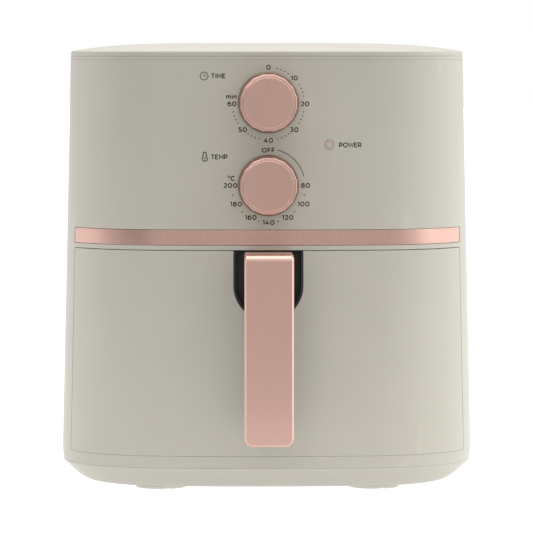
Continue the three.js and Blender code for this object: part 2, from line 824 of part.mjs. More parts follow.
// The stamped roof of the chamber: a flange on the chamber's rim and a dome over the fan.
function heatReflector() {
  const s = reflector.sheet;
  const r = domeRadius;
  const h = reflector.domeHeight;
  const half = chamberHalf + reflector.rim;
  const back = chamberBackY + reflector.rim - heaterY;
  const ring = (z) => roundedRing(half, -far, back, chamber.cornerRadius + reflector.rim, z);
  const cutter = behindLedges().translate(0, -heaterY, -flangeZ);
  const flange = loft([ring(0), ring(s)])
    .intersect(cutter)
    .subtract(cylinderZ(r - s / 2, -1, s + 1, 0, 0, 24));
  const dome = turned(
    closed([
      [r - s, 0],
      [r, 0],
      [r, 6],
      [r - reflector.taper / 2, h - 4],
      [r - reflector.taper, h],
      [reflector.shaftHole, h],
      [reflector.shaftHole, h - s],
      [r - reflector.taper - 0.5, h - s],
      [r - reflector.taper / 2 - s, h - 4.5],
      [r - s, 5.5],
    ]),
    24,
  );
  let made = flange.add(dome);
  for (const [x, y] of riserPlaces()) {
    made = made.subtract(cylinderZ(element.hole, h - s - 1, h + 1, x, y, 12));
  }
  const [bulbX, bulbY] = bulbPlace();
  return made.subtract(cylinderZ(capillary.bulb + GAP, -1, s + 1, bulbX, bulbY - heaterY, 12));
}

const elementRadius = domeRadius - element.margin;
const riserInside = elementRadius - element.pitch * element.turns - element.tube;
const elementStart = Math.PI / 2 + 0.16;
const elementTurn = element.turns * 2 * Math.PI - 0.32;

// A point of the element's spiral, t from 0 at the outer end to 1 at the inner end.
function spiralPoint(t, z) {
  const angle = elementStart + elementTurn * t;
  const r = elementRadius - element.pitch * element.turns * t;
  return new THREE.Vector3(r * Math.cos(angle), r * Math.sin(angle), z);
}

function riserPlaces() {
  return [0, 1].map((t) => {
    const point = spiralPoint(t, 0);
    return [point.x, point.y];
  });
}

const elementZ = element.drop;

// A tubular heating element: two turns, with both ends rising through the dome.
function heatingElement() {
  const top = reflector.domeHeight + element.riser;
  const samples = 36;
  const lead = 0.018;
  const points = [spiralPoint(0, top), spiralPoint(0, top / 2 + 4), spiralPoint(0, elementZ + 6)];
  for (let i = 0; i <= samples; i++) {
    points.push(spiralPoint(lead + ((1 - 2 * lead) * i) / samples, elementZ));
  }
  points.push(spiralPoint(1, elementZ + 6), spiralPoint(1, top / 2 + 4), spiralPoint(1, top));
  return tube(points, element.tube, 50);
}

// A hooked strip that carries the element, hanging from the flange's edge.
function elementClip() {
  const r = elementRadius + element.tube + clip.outside;
  const under = elementZ - element.tube - GAP;
  const top = reflector.domeHeight - clip.belowDome;
  const profile = shapeOf([
    [r - clip.reach, under - clip.sheet],
    [r + clip.sheet, under - clip.sheet],
    [r + clip.sheet, top],
    [r, top],
    [r, under],
    [r - clip.reach, under],
  ]);
  return extrudeX(profile, -clip.halfWidth, clip.halfWidth);
}

// A wire guard under the element: rings joined by radial bars.
function heaterGuard() {
  const w = guard.wire;
  const outer = domeRadius - guard.margin;
  const z = -guard.drop - w;
  const ringAt = (r, sides) => turned(closed([[r - w, z], [r, z], [r, z + w], [r - w, z + w]]), sides);
  let made = ringAt(outer, 18);
  for (let i = 1; i < guard.rings; i++) made = made.add(ringAt(outer - guard.ringPitch * i, 12));
  for (let i = 0; i < guard.bars; i++) {
    const bar = box(-outer + w / 2, outer - w / 2, -w / 2, w / 2, z, z + w);
    made = made.add(bar.rotate([0, 0, (180 / guard.bars) * i]));
  }
  return made;
}

function thermalFuse() {
  const { half, from, to, lead, leadHalf } = fuse;
  const x = domeRadius + fuse.outside;
  const z = reflector.sheet + GAP;
  const can = box(x - half, x + half, from, to, z, z + fuse.height);
  const wire = (y0, y1) => box(x - leadHalf, x + leadHalf, y0, y1, z + 1.5, z + 2.5);
  return can.add(wire(from - lead, from + 1)).add(wire(to - 1, to + lead));
}

function terminalBlock() {
  const { half, from, count, pitch, height, screw, entry } = terminals;
  const x = -(domeRadius + terminals.outside);
  const z = reflector.sheet + GAP;
  let made = box(x - half, x + half, from, from + count * pitch, z, z + height);
  for (let i = 0; i < count; i++) {
    const y = from + (i + 0.5) * pitch;
    made = made.subtract(cylinderZ(screw, z + 5, z + height + 1, x, y, 12));
    made = made.subtract(box(x - half - 1, x - half / 2, y - entry, y + entry, z + 2, z + 8));
  }
  return made;
}

// ------------------------------------------------------------------ motor and fans (same origin)

const hotFanZ = reflector.domeHeight - reflector.sheet - 4 - fan.bladeHeight;
const coolFanZ = reflector.domeHeight + 6;
const bridgeZ = motor.bridgeHeight;
const coreZ = bridgeZ + 1.5 + GAP;
const shaftTopZ = coreZ + motor.coreHeight + 14;

// Blades round a hub: each is a plate that leans by tilt degrees.
function bladeRing(count, r0, r1, height, tilt, z) {
  const blade = box(r0, r1, -fan.sheet / 2, fan.sheet / 2, -height / 2, height / 2).rotate([tilt, 0, 0]);
  let made = blade;
  for (let i = 1; i < count; i++) made = made.add(blade.rotate([0, 0, (360 / count) * i]));
  return made.translate(0, 0, z + height / 2);
}

const shaftBore = () => cylinderZ(motor.shaft + GAP, -far, far, 0, 0, 16);

function hotFan() {
  const radius = riserInside - fan.hotClear;
  const disc = cylinderZ(radius - fan.discMargin, hotFanZ, hotFanZ + fan.sheet, 0, 0, 32);
  const hub = cylinderZ(fan.hub - 1, hotFanZ, hotFanZ + 8, 0, 0, 20);
  const blades = bladeRing(fan.hotBlades, fan.hub - 3, radius, fan.bladeHeight, 12, hotFanZ);
  return disc.add(hub).add(blades).subtract(shaftBore());
}

function coolingFan() {
  const radius = riserInside - fan.coolClear;
  const hub = cylinderZ(fan.hub, coolFanZ, coolFanZ + 9, 0, 0, 20);
  const blades = bladeRing(fan.coolBlades, fan.hub - 3, radius, fan.bladeHeight, 55, coolFanZ - 1);
  return hub.add(blades).subtract(shaftBore());
}

const motorShaft = () => cylinderZ(motor.shaft, hotFanZ - 3, shaftTopZ, 0, 0, 16);

function motorRotor() {
  const z = coreZ + 4.5;
  return cylinderZ(motor.bore - 0.5, z, coreZ + motor.coreHeight - 0.5, 0, 0, 28).subtract(shaftBore());
}

// A folded steel bridge that stands on the flange and carries the motor.
function motorBridge() {
  const x = domeRadius + motor.bridgeClear;
  const floor = reflector.sheet + GAP;
  const s = 1.5;
  const foot = 9;
  const profile = shapeOf([
    [-x - foot, floor],
    [-x, floor],
    [-x, bridgeZ],
    [x, bridgeZ],
    [x, floor],
    [x + foot, floor],
    [x + foot, floor + s],
    [x + s, floor + s],
    [x + s, bridgeZ + s],
    [-x - s, bridgeZ + s],
    [-x - s, floor + s],
    [-x - foot, floor + s],
  ]);
  const strip = extrudeY(profile, -motor.bridgeHalfLength, motor.bridgeHalfLength);
  return strip.subtract(cylinderZ(motor.bush + GAP, bridgeZ - 1, bridgeZ + 3, 0, 0, 20));
}

function shaftBush() {
  const r = motor.shaft + GAP;
  return turned(
    closed([
      [r, bridgeZ - 3],
      [motor.bush + 2, bridgeZ - 3],
      [motor.bush + 2, bridgeZ - GAP],
      [motor.bush, bridgeZ - GAP],
      [motor.bush, bridgeZ + 5],
      [r, bridgeZ + 5],
    ]),
    20,
  );
}

// The stack of laminations: a round bore and a window that leaves a leg for the coil.
function motorCore() {
  const half = motor.coreHalf;
  const y1 = half + 13;
  const stackOf = box(-half, half, -half + 7, y1, coreZ, coreZ + motor.coreHeight);
  const bore = cylinderZ(motor.bore, coreZ - 1, coreZ + motor.coreHeight + 1, 0, 0, 28);
  const window = box(-half + 12, half - 12, y1 - motor.leg - 14, y1 - motor.leg, coreZ - 1,
    coreZ + motor.coreHeight + 1);
  return stackOf.subtract(bore).subtract(window);
}

function motorCoil() {
  const y1 = motor.coreHalf + 13;
  const y0 = y1 - motor.leg;
  const c = motor.coil;
  const x = motor.coreHalf - 15;
  const z0 = coreZ - GAP;
  const z1 = coreZ + motor.coreHeight + GAP;
  const outer = box(-x, x, y0 - c - GAP, y1 + c + GAP, z0 - c, z1 + c);
  return outer.subtract(box(-x - 1, x + 1, y0 - GAP, y1 + GAP, z0, z1));
}

// A folded strap over the core, with the upper bearing.
function motorEndBracket() {
  const x = motor.coreHalf - 1;
  const z0 = coreZ + motor.coreHeight + GAP;
  const z1 = z0 + 6;
  const profile = shapeOf([
    [-x, z0],
    [-x + 1.5, z0],
    [-x + 1.5, z1],
    [x - 1.5, z1],
    [x - 1.5, z0],
    [x, z0],
    [x, z1 + 1.5],
    [-x, z1 + 1.5],
  ]);
  const boss = cylinderZ(motor.bush + 1.5, z1 - 2, z1 + 4, 0, 0, 20);
  return extrudeY(profile, -10, 10).add(boss).subtract(shaftBore());
}

// ------------------------------------------------------------------ drawer

const drawerFoot = sillZ + SEAM;
const drawerHead = drawerTopZ - SEAM;
const drawerRim = wrapY - GAP;

// The scoop's outline in (x, z): straight sides, a round lower end, and a top edge.
function scoopShape(half, top) {
  const shape = new THREE.Shape();
  shape.moveTo(half, top);
  shape.lineTo(-half, top);
  shape.lineTo(-half, scoopZ);
  shape.absarc(0, scoopZ, half, Math.PI, 2 * Math.PI, false);
  shape.lineTo(half, top);
  return shape;
}

function drawerFront() {
  const cut = extrudeY(scoopShape(scoop.halfWidth, far), frontY - 5, frontY + 3 * drawer.wall);
  return bodyWall(drawerFoot, drawerHead, 0, drawer.wall).intersect(inFrontOf(drawerRim)).subtract(cut);
}

// The tray behind the drawer's face: back wall, roof, floor and returned sides.
function drawerFrontInner() {
  const from = drawer.wall + GAP + 0.1;
  const block = bodyWall(drawerFoot, drawerHead, from, drawer.innerTo).intersect(inFrontOf(drawerRim));
  const hollow = bodyWall(drawerFoot + drawer.plate, drawerHead - drawer.plate, from - 1, drawer.innerFrom)
    .intersect(inFrontOf(drawerRim - drawer.plate));
  const scoopRoom = box(-scoop.halfWidth - GAP, scoop.halfWidth + GAP, -far, scoopFloorY + GAP,
    drawerHead - 3 * drawer.plate, far);
  return block.subtract(hollow).subtract(scoopRoom).subtract(screwHoles());
}

const screwZ = () => handleTopZ - handle.skinTop - handle.arm / 3;

// Clearance holes for the handle's two screws.
function screwHoles() {
  const hole = (x) => cylinderY(handle.screwShank + GAP, scoopFloorY - handle.screwGrip - 3,
    frontY + drawer.innerTo + 6, x, screwZ(), 12);
  return hole(handle.screwX).add(hole(-handle.screwX));
}

function handleRecess() {
  const half = scoop.halfWidth - GAP;
  const top = drawerHead - GAP;
  const outer = extrudeY(scoopShape(half, top), frontY - 5, scoopFloorY)
    .intersect(bodySolid([[drawerFoot, GAP], [drawerTopZ, GAP]]));
  const inner = extrudeY(scoopShape(half - scoop.wall, far), frontY - 6, scoopFloorY - scoop.wall);
  return outer.subtract(inner).subtract(screwHoles());
}

const armEndY = scoopFloorY - scoop.wall - GAP;
const skinBackY = handleFrontY + handle.skinFront;

// The handle's front view: a bar with round lower corners.
function handleOutline(half, foot) {
  const r = handle.cornerRadius;
  const shape = new THREE.Shape();
  shape.moveTo(half, handleTopZ);
  shape.lineTo(-half, handleTopZ);
  shape.lineTo(-half, foot + r);
  shape.absarc(-half + r, foot + r, r, Math.PI, 1.5 * Math.PI, false);
  shape.absarc(half - r, foot + r, r, 1.5 * Math.PI, 2 * Math.PI, false);
  shape.lineTo(half, handleTopZ);
  return shape;
}

// The metallised outer skin: down the front of the grip and back over the arm.
function handleCover() {
  const half = handle.width / 2;
  const under = handleTopZ - handle.skinTop;
  const side = shapeOf([
    [handleFrontY, handleFootZ],
    [skinBackY, handleFootZ],
    [skinBackY, under],
    [armEndY, under],
    [armEndY, handleTopZ],
    [handleFrontY + handle.topBevel, handleTopZ],
    [handleFrontY, handleTopZ - handle.topBevel],
  ]);
  return extrudeX(side, -half, half).intersect(extrudeY(handleOutline(half, handleFootZ), -far, far));
}

// The black body of the handle, behind and below the skin.
function handleCore() {
  const half = handle.width / 2 - handle.coreInset;
  const foot = handleFootZ + handle.coreInset;
  const under = handleTopZ - handle.arm;
  const gripBack = handleFrontY + handle.grip;
  const top = handleTopZ - handle.skinTop - GAP;
  const side = new THREE.Shape();
  side.moveTo(skinBackY + GAP, foot);
  side.lineTo(gripBack, foot);
  side.lineTo(gripBack, under - handle.fillet);
  side.absarc(gripBack + handle.fillet, under - handle.fillet, handle.fillet, Math.PI, Math.PI / 2, true);
  side.lineTo(armEndY, under);
  side.lineTo(armEndY, top);
  side.lineTo(skinBackY + GAP, top);
  return extrudeX(side, -half, half)
    .intersect(extrudeY(handleOutline(half, foot), -far, far))
    .subtract(screwHoles());
}

// A pan-head screw along Y, its head's bearing face at y = 0, pointing to the front.
function handleScrew() {
  const length = drawer.innerTo - scoop.depth + handle.screwGrip;
  return turnedY([
    [0, -length],
    [handle.screwShank, -length],
    [handle.screwShank, GAP],
    [handle.screwHead, GAP],
    [handle.screwHead - 0.6, 2.4],
    [0, 2.4],
  ], 16);
}

function panRing(z, inset) {
  return roundedRing(panHalf, panFrontY, panBackY, pan.cornerRadius, z, inset);
}

// The pan's outer profile as [height, how far the wall stands in from the rim], from the floor up.
function panLevels() {
  return [
    [panZ, pan.taper + 6],
    [panZ + 2, pan.taper + 2],
    [panZ + 7, pan.taper * (1 - 7 / pan.height)],
    [panTopZ, 0],
  ];
}

// How far the pan's inner wall stands in from the rim at a height.
function panInset(z) {
  const levels = panLevels().map(([at, inset]) => [at + pan.wall, inset + pan.wall]);
  const above = Math.max(1, levels.findIndex(([at]) => at > z));
  const [[z0, inset0], [z1, inset1]] = levels.slice(above - 1, above + 1);
  return inset0 + ((inset1 - inset0) * (z - z0)) / (z1 - z0);
}

function panSolid() {
  const outer = loft(panLevels().map(([z, inset]) => panRing(z, inset)));
  const hollow = loft(panLevels().map(([z, inset]) => panRing(z + pan.wall, inset + pan.wall)));
  const rim = loft([panRing(panTopZ - pan.rimHeight, -pan.rim), panRing(panTopZ, -pan.rim)]);
  return outer.add(rim).subtract(hollow);
}

// The steel hook that ties the pan's front rim to the inner panel.
function panBracketSolid() {
  const y0 = frontY + drawer.innerTo + crownDrop(panBracket.halfWidth) + GAP;
  const s = panBracket.sheet;
  const y1 = panFrontY + panBracket.hook;
  const z0 = panTopZ - panBracket.drop;
  const z1 = panTopZ + GAP;
  const profile = shapeOf([
    [y0, z0],
    [y0 + s, z0],
    [y0 + s, z1],
    [y1, z1],
    [y1, z1 + s],
    [y0, z1 + s],
  ]);
  return extrudeX(profile, -panBracket.halfWidth, panBracket.halfWidth);
}

// ------------------------------------------------------------------ crisper plate (origin: underside)

const plateZ = panZ + pan.wall + plate.above;
const plateEdge = panInset(plateZ) + plate.clear;
const plateHalfX = panHalf - plateEdge;
const plateHalfY = (panBackY - panFrontY) / 2 - plateEdge;

function slotPath(x, y) {
  const r = plate.slotWidth / 2;
  const half = plate.slotLength / 2 - r;
  const path = new THREE.Path();
  path.absarc(x + half, y, r, -Math.PI / 2, Math.PI / 2, false);
  path.absarc(x - half, y, r, Math.PI / 2, 1.5 * Math.PI, false);
  path.closePath();
  return path;
}

// A perforated plate with rounded corners, and a notch for each bumper.
function crisperPlate() {
  const radius = pan.cornerRadius - plateEdge;
  const rim = roundedRing(plateHalfX, -plateHalfY, plateHalfY, radius, 0);
  const shape = new THREE.Shape(rim.map((p) => new THREE.Vector2(p.x, p.y)));
  const pitchX = (2 * plateHalfX - 24) / plate.columns;
  const pitchY = (2 * plateHalfY - 34) / plate.rows;
  const holes = [];
  for (let row = 0; row < plate.rows; row++) {
    for (let column = 0; column < plate.columns; column++) {
      const x = (column - (plate.columns - 1) / 2) * pitchX;
      const y = (row - (plate.rows - 1) / 2) * pitchY;
      if (Math.hypot(x, y) > liftRing.radius + plate.slotLength / 2) holes.push(slotPath(x, y));
    }
  }
  shape.holes = holes;
  const options = { depth: plate.sheet, bevelEnabled: false, curveSegments: 2 };
  const sheet = solid(new THREE.ExtrudeGeometry(shape, options));
  return sheet.add(liftLoop()).subtract(bumperNotches());
}

// A finger loop that stands on the plate's middle.
function liftLoop() {
  const { radius, wire } = liftRing;
  const shape = new THREE.Shape();
  shape.moveTo(radius, 0);
  shape.lineTo(radius, radius);
  shape.absarc(0, radius, radius, 0, Math.PI, false);
  shape.lineTo(-radius, 0);
  shape.lineTo(-radius + 2 * wire, 0);
  shape.lineTo(-radius + 2 * wire, radius);
  shape.absarc(0, radius, radius - 2 * wire, Math.PI, 0, true);
  shape.lineTo(radius - 2 * wire, 0);
  return extrudeY(shape, -wire, wire).translate(0, 0, plate.sheet / 2);
}

// The four bumper places as [turn about Z in quarter turns, distance from the centre].
const bumperPlaces = () => [
  ["front", 0, plateHalfY],
  ["right", 1, plateHalfX],
  ["rear", 2, plateHalfY],
  ["left", 3, plateHalfX],
];

// Room for each bumper's bite in the plate's edge.
function bumperNotches() {
  const half = bumper.width / 2 + GAP;
  const notch = (reach) => box(-half, half, -reach - 5, -reach + bumper.bite / 2, -1, plate.sheet + 1);
  const cuts = bumperPlaces().map(([, turn, reach]) => notch(reach).rotate([0, 0, 90 * turn]));
  return cuts.reduce((all, cut) => all.add(cut));
}

// A silicone foot: it stands on the pan's floor and grips the plate's notched edge.
function plateBumper() {
  const half = bumper.width / 2;
  const foot = panZ + pan.wall + GAP;
  const outer = [0, 2.4, 8, bumper.height].map((rise) => {
    const inset = panInset(foot + rise) + bumper.clear;
    return [inset - plateEdge, foot + rise - plateZ];
  });
  const top = outer[3][1];
  const profile = shapeOf([...outer, [bumper.inner, top], [bumper.inner, outer[0][1]]]);
  const block = extrudeX(profile, -half, half);
  const slot = box(-far, far, bumper.bite / 2 - GAP, far, -GAP, plate.sheet + GAP);
  return block.subtract(slot);
}

// ------------------------------------------------------------------ the assembly

function add(group, name, made, material, x = 0, y = 0, z = 0, turn = 0) {
  const mesh = new THREE.Mesh(geometryOf(made), material());
  mesh.name = name;
  mesh.position.set(x, y, z);
  mesh.rotation.z = turn;
  group.add(mesh);
  return mesh;
}

function subGroup(parent, x, y, z) {
  const group = new THREE.Group();
  group.position.set(x, y, z);
  parent.add(group);
  return group;
}

function addHousing(group) {
  add(group, "main_housing", mainHousing(), cream);
  add(group, "top_cover", topCover(), cream);
  add(group, "trim_band", trimBand(), roseGold);
  add(group, "base_tray", baseTray(), cream);
  const names = ["front_left", "front_right", "rear_left", "rear_right"];
  footPlaces().forEach(([x, y], i) => add(group, `foot_${names[i]}`, rubberFoot(), rubber, x, y));
  add(group, "rear_vent_grille", rearVentGrille(), greyPlastic);
  add(group, "air_duct", airDuct(), sheetSteel);
  add(group, "cord_gland", cordGland(), blackPlastic, gland.x, 0, gland.z);
  add(group, "control_bracket", controlBracket(), sheetSteel);
  add(group, "thermostat_capillary", thermostatCapillary(), copper);
  add(group, "power_lens", powerLens(), lensPlastic);
  add(group, "power_lamp", powerLamp(), whiteCeramic);
  add(group, "safety_switch", safetySwitch(), blackPlastic);
}

function addDial(group, name, z, shaftName) {
  const dialGroup = subGroup(group, 0, frontY, z);
  add(dialGroup, `${name}_collar`, dialCollar(), roseGold);
  add(dialGroup, `${name}_knob`, dialKnob(), roseGold);
  add(dialGroup, shaftName, dialShaft(), steel);
  return dialGroup;
}

function addControls(group) {
  const timerGroup = addDial(group, "timer", timerZ, "timer_shaft");
  add(timerGroup, "timer_unit", timerUnit(), whiteCeramic);
  add(timerGroup, "timer_bell", timerBell(), brass);
  const temperatureGroup = addDial(group, "temperature", temperatureZ, "thermostat_shaft");
  add(temperatureGroup, "thermostat_unit", thermostatUnit(), whiteCeramic);
}

function addHeater(group) {
  add(group, "inner_chamber", innerChamber(), sheetSteel);
  add(group, "drawer_rail_left", drawerRail(-1), sheetSteel);
  add(group, "drawer_rail_right", drawerRail(1), sheetSteel);
  const heater = subGroup(group, 0, heaterY, flangeZ);
  add(heater, "heat_reflector", heatReflector(), sheetSteel);
  add(heater, "heating_element", heatingElement(), steel);
  [30, 150, 270].forEach((degrees, i) => {
    const turn = THREE.MathUtils.degToRad(degrees - 90);
    add(heater, `element_clip_${i + 1}`, elementClip(), steel, 0, 0, 0, turn);
  });
  add(heater, "heater_guard", heaterGuard(), steel);
  add(heater, "thermal_fuse", thermalFuse(), whiteCeramic);
  add(heater, "terminal_block", terminalBlock(), whiteCeramic);
  add(heater, "motor_bridge", motorBridge(), sheetSteel);
  add(heater, "motor_core", motorCore(), steel);
  add(heater, "motor_coil", motorCoil(), copper);
  add(heater, "motor_end_bracket", motorEndBracket(), sheetSteel);
  add(heater, "shaft_bush", shaftBush(), brass);
  add(heater, "hot_fan", hotFan(), aluminium);
  add(heater, "cooling_fan", coolingFan(), aluminium);
  add(heater, "motor_shaft", motorShaft(), steel);
  add(heater, "motor_rotor", motorRotor(), steel);
}

function addDrawer(group) {
  add(group, "drawer_front", drawerFront(), cream);
  add(group, "drawer_front_inner", drawerFrontInner(), greyPlastic);
  add(group, "handle_recess", handleRecess(), blackPlastic);
  add(group, "handle_cover", handleCover(), roseGold);
  add(group, "handle_core", handleCore(), blackPlastic);
  const screwY = frontY + drawer.innerTo + crownDrop(handle.screwX + handle.screwHead);
  add(group, "handle_screw_left", handleScrew(), steel, -handle.screwX, screwY, screwZ());
  add(group, "handle_screw_right", handleScrew(), steel, handle.screwX, screwY, screwZ());
  add(group, "pan", panSolid(), darkCoat);
  add(group, "pan_bracket", panBracketSolid(), steel);
  const plateGroup = subGroup(group, 0, (panFrontY + panBackY) / 2, plateZ);
  add(plateGroup, "crisper_plate", crisperPlate(), darkCoat);
  for (const [name, turn, reach] of bumperPlaces()) {
    const angle = (turn * Math.PI) / 2;
    const x = reach * Math.sin(angle);
    const y = -reach * Math.cos(angle);
    add(plateGroup, `plate_bumper_${name}`, plateBumper(), silicone, x, y, 0, angle);
  }
}

// The frame's origin is at the middle of the whole footprint, handle and rear vent included.
const footprintY = (handleFrontY + backY + rearVent.proud) / 2;
const airFryer = new THREE.Group();
airFryer.position.y = -footprintY;
addHousing(airFryer);
addControls(airFryer);
addHeater(airFryer);
addDrawer(airFryer);

export default airFryer;
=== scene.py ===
"""The looks of a dial air fryer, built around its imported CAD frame.

Shapes are worked out in millimetres in the row frame (front towards -Y, floor at z = 0)
and turned into metres when each mesh is made.
"""
import json
import math

import bmesh
import bpy
from mathutils import Matrix, Vector


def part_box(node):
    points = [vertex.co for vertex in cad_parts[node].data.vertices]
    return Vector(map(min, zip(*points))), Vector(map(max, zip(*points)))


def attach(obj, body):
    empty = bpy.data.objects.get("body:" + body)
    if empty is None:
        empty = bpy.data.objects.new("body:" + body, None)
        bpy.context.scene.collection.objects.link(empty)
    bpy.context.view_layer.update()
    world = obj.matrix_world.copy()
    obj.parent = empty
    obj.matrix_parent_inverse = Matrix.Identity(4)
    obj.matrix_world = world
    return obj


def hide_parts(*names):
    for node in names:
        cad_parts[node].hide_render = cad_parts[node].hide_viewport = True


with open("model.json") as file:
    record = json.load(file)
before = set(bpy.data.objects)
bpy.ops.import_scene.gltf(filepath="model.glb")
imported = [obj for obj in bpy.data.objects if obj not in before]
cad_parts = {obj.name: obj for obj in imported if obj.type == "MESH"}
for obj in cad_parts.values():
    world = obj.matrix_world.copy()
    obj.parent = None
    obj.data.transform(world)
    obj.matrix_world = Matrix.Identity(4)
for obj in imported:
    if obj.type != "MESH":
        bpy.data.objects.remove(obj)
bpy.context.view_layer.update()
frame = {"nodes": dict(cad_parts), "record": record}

MM = 0.001


def box_mm(node):
    """A CAD node's lowest and highest corners, in millimetres."""
    low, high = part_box(node)
    return low / MM, high / MM


# ---- sizes read from the frame

HOUSING_LOW, HOUSING_HIGH = box_mm("main_housing")
LID_LOW, LID_HIGH = box_mm("top_cover")
BASE_LOW, BASE_HIGH = box_mm("base_tray")
BAND_LOW, BAND_HIGH = box_mm("trim_band")
DRAWER_LOW, DRAWER_HIGH = box_mm("drawer_front")
VENT_LOW, VENT_HIGH = box_mm("rear_vent_grille")

GAP = 0.3  # between pieces that touch
SEAM = 0.5  # visible parting lines
HAIRLINE = 0.06  # and those closed up tight
WALL = 2.6  # of the housing
FACE_RADIUS = 600.0  # crown of the front and back faces
CORNER_RADIUS = 80.0
SIDE_DRAFT = 0.0237  # each side leans in by this per millimetre above the sill
SILL_DRAFT = 0.1  # and below it

FRONT_Y = HOUSING_LOW.y
BACK_Y = HOUSING_HIGH.y
MIDDLE_Y = (FRONT_Y + BACK_Y) / 2
HALF_WIDTH = HOUSING_HIGH.x
SILL_Z = DRAWER_LOW.z - SEAM
DRAWER_TOP_Z = DRAWER_HIGH.z + SEAM
BAND_Z = BAND_LOW.z - GAP
BAND_TOP_Z = BAND_HIGH.z + GAP
LID_Z = HOUSING_HIGH.z + SEAM
CREASE_Z = HOUSING_LOW.z - GAP
WRAP_Y = DRAWER_HIGH.y + GAP  # where the drawer front ends on the sides
LAP_Y = WRAP_Y + 1  # where the band ends
VENT_FLANGE = 4.5
VENT_HALF = VENT_HIGH.x - VENT_FLANGE + GAP
VENT_Z = VENT_LOW.z + VENT_FLANGE - GAP
VENT_TOP_Z = VENT_HIGH.z - VENT_FLANGE + GAP


# ---- the body's outline

def half_width(z):
    """The body's half width at a height."""
    draft = SIDE_DRAFT if z > SILL_Z else -SILL_DRAFT
    return HALF_WIDTH - (z - SILL_Z) * draft


def crown_drop(x):
    """How far the front face falls back at a distance from the centre line."""
    return FACE_RADIUS - math.sqrt(FACE_RADIUS**2 - x**2)


def corner_place(z):
    """The corner arc's centre (x, y) in front, and the angle where it meets the crowned face."""
    x = half_width(z) - CORNER_RADIUS
    span = FACE_RADIUS - CORNER_RADIUS
    lean = math.asin(x / span)
    return x, FRONT_Y + FACE_RADIUS - span * math.cos(lean), lean


def arc(x, y, radius, start, end, steps, z):
    """Points of an arc, angles counted from the front (-Y) towards the right (+X), without its last one."""
    points = []
    for i in range(steps):
        angle = start + (end - start) * i / steps
        points.append((x + radius * math.sin(angle), y - radius * math.cos(angle), z))
    return points


def bow(x, y, across, up, start=90, end=450, steps=14):
    """Points of an oval arc, whole unless it has an end; degrees anticlockwise from the right."""
    angles = [math.radians(start + (end - start) * i / steps) for i in range(steps + 1)]
    return [(x + across * math.cos(a), y + up * math.sin(a)) for a in angles]


def cut_angle(z, inset, y):
    """The corner angle at which the outline crosses a plane of constant y."""
    _, corner_y, _ = corner_place(z)
    return math.acos((corner_y - y) / (CORNER_RADIUS - inset))


FACE_STEPS = 28
CORNER_STEPS = 14  # of a front corner, to where the drawer front ends
BEND_STEPS = 6  # of the rest of it
FLANK_STEPS = 4
REAR_STEPS = 18  # of a rear corner
BACK_STEPS = 4  # on each side of the vent
VENT_STEPS = 14
SIDE_STEPS = BEND_STEPS + FLANK_STEPS + REAR_STEPS

# The ring's stretches in order, from the left end of the front face: (tag, columns).
STRETCHES = [("front", FACE_STEPS + CORNER_STEPS), ("lap", 1), ("side", SIDE_STEPS), ("back", BACK_STEPS)]
STRETCHES += [("vent", VENT_STEPS), ("back", BACK_STEPS), ("side", SIDE_STEPS), ("lap", 1)]
STRETCHES.append(("front", CORNER_STEPS))
COLUMN_TAGS = [tag for tag, count in STRETCHES for _ in range(count)]


def ring(z, inset=0.0):
    """The plan outline at a height, moved in by inset: one point per column of STRETCHES."""
    x, y, lean = corner_place(z)
    face_y = FRONT_Y + FACE_RADIUS
    face = FACE_RADIUS - inset
    corner = CORNER_RADIUS - inset
    back_y = 2 * MIDDLE_Y - y
    back_face_y = 2 * MIDDLE_Y - face_y
    side = math.pi / 2
    wrap = cut_angle(z, inset, WRAP_Y)
    lap = cut_angle(z, inset, LAP_Y)
    vent = math.asin(VENT_HALF / face)
    flank = half_width(z) - inset
    half = 2 * side
    whole = 4 * side

    def arcs(*parts):
        return [p for part in parts for p in arc(*part, z)]

    points = arcs(
        (0, face_y, face, -lean, lean, FACE_STEPS),
        (x, y, corner, lean, wrap, CORNER_STEPS),
        (x, y, corner, wrap, lap, 1),
        (x, y, corner, lap, side, BEND_STEPS),
    )
    points += [(flank, y + (back_y - y) * i / FLANK_STEPS, z) for i in range(FLANK_STEPS)]
    points += arcs(
        (x, back_y, corner, side, half - lean, REAR_STEPS),
        (0, back_face_y, face, half - lean, half - vent, BACK_STEPS),
        (0, back_face_y, face, half - vent, half + vent, VENT_STEPS),
        (0, back_face_y, face, half + vent, half + lean, BACK_STEPS),
        (-x, back_y, corner, half + lean, 3 * side, REAR_STEPS),
    )
    points += [(-flank, back_y + (y - back_y) * i / FLANK_STEPS, z) for i in range(FLANK_STEPS)]
    return points + arcs(
        (-x, y, corner, 3 * side, whole - lap, BEND_STEPS),
        (-x, y, corner, whole - lap, whole - wrap, 1),
        (-x, y, corner, whole - wrap, whole - lean, CORNER_STEPS),
    )


def front_arc(z, inset, y_end):
    """The outline's front stretch, from the left to the right, ending at the plane y = y_end."""
    x, y, lean = corner_place(z)
    end = cut_angle(z, inset, y_end)
    face_y = FRONT_Y + FACE_RADIUS
    corner = CORNER_RADIUS - inset
    face_steps, corner_steps = 40, 24
    points = arc(-x, y, corner, -end, -lean, corner_steps, z)
    points += arc(0, face_y, FACE_RADIUS - inset, -lean, lean, face_steps, z)
    points += arc(x, y, corner, lean, end, corner_steps, z)
    return points + [(x + corner * math.sin(end), y - corner * math.cos(end), z)]


# ---- meshes

SMOOTH_ANGLE = math.radians(32)


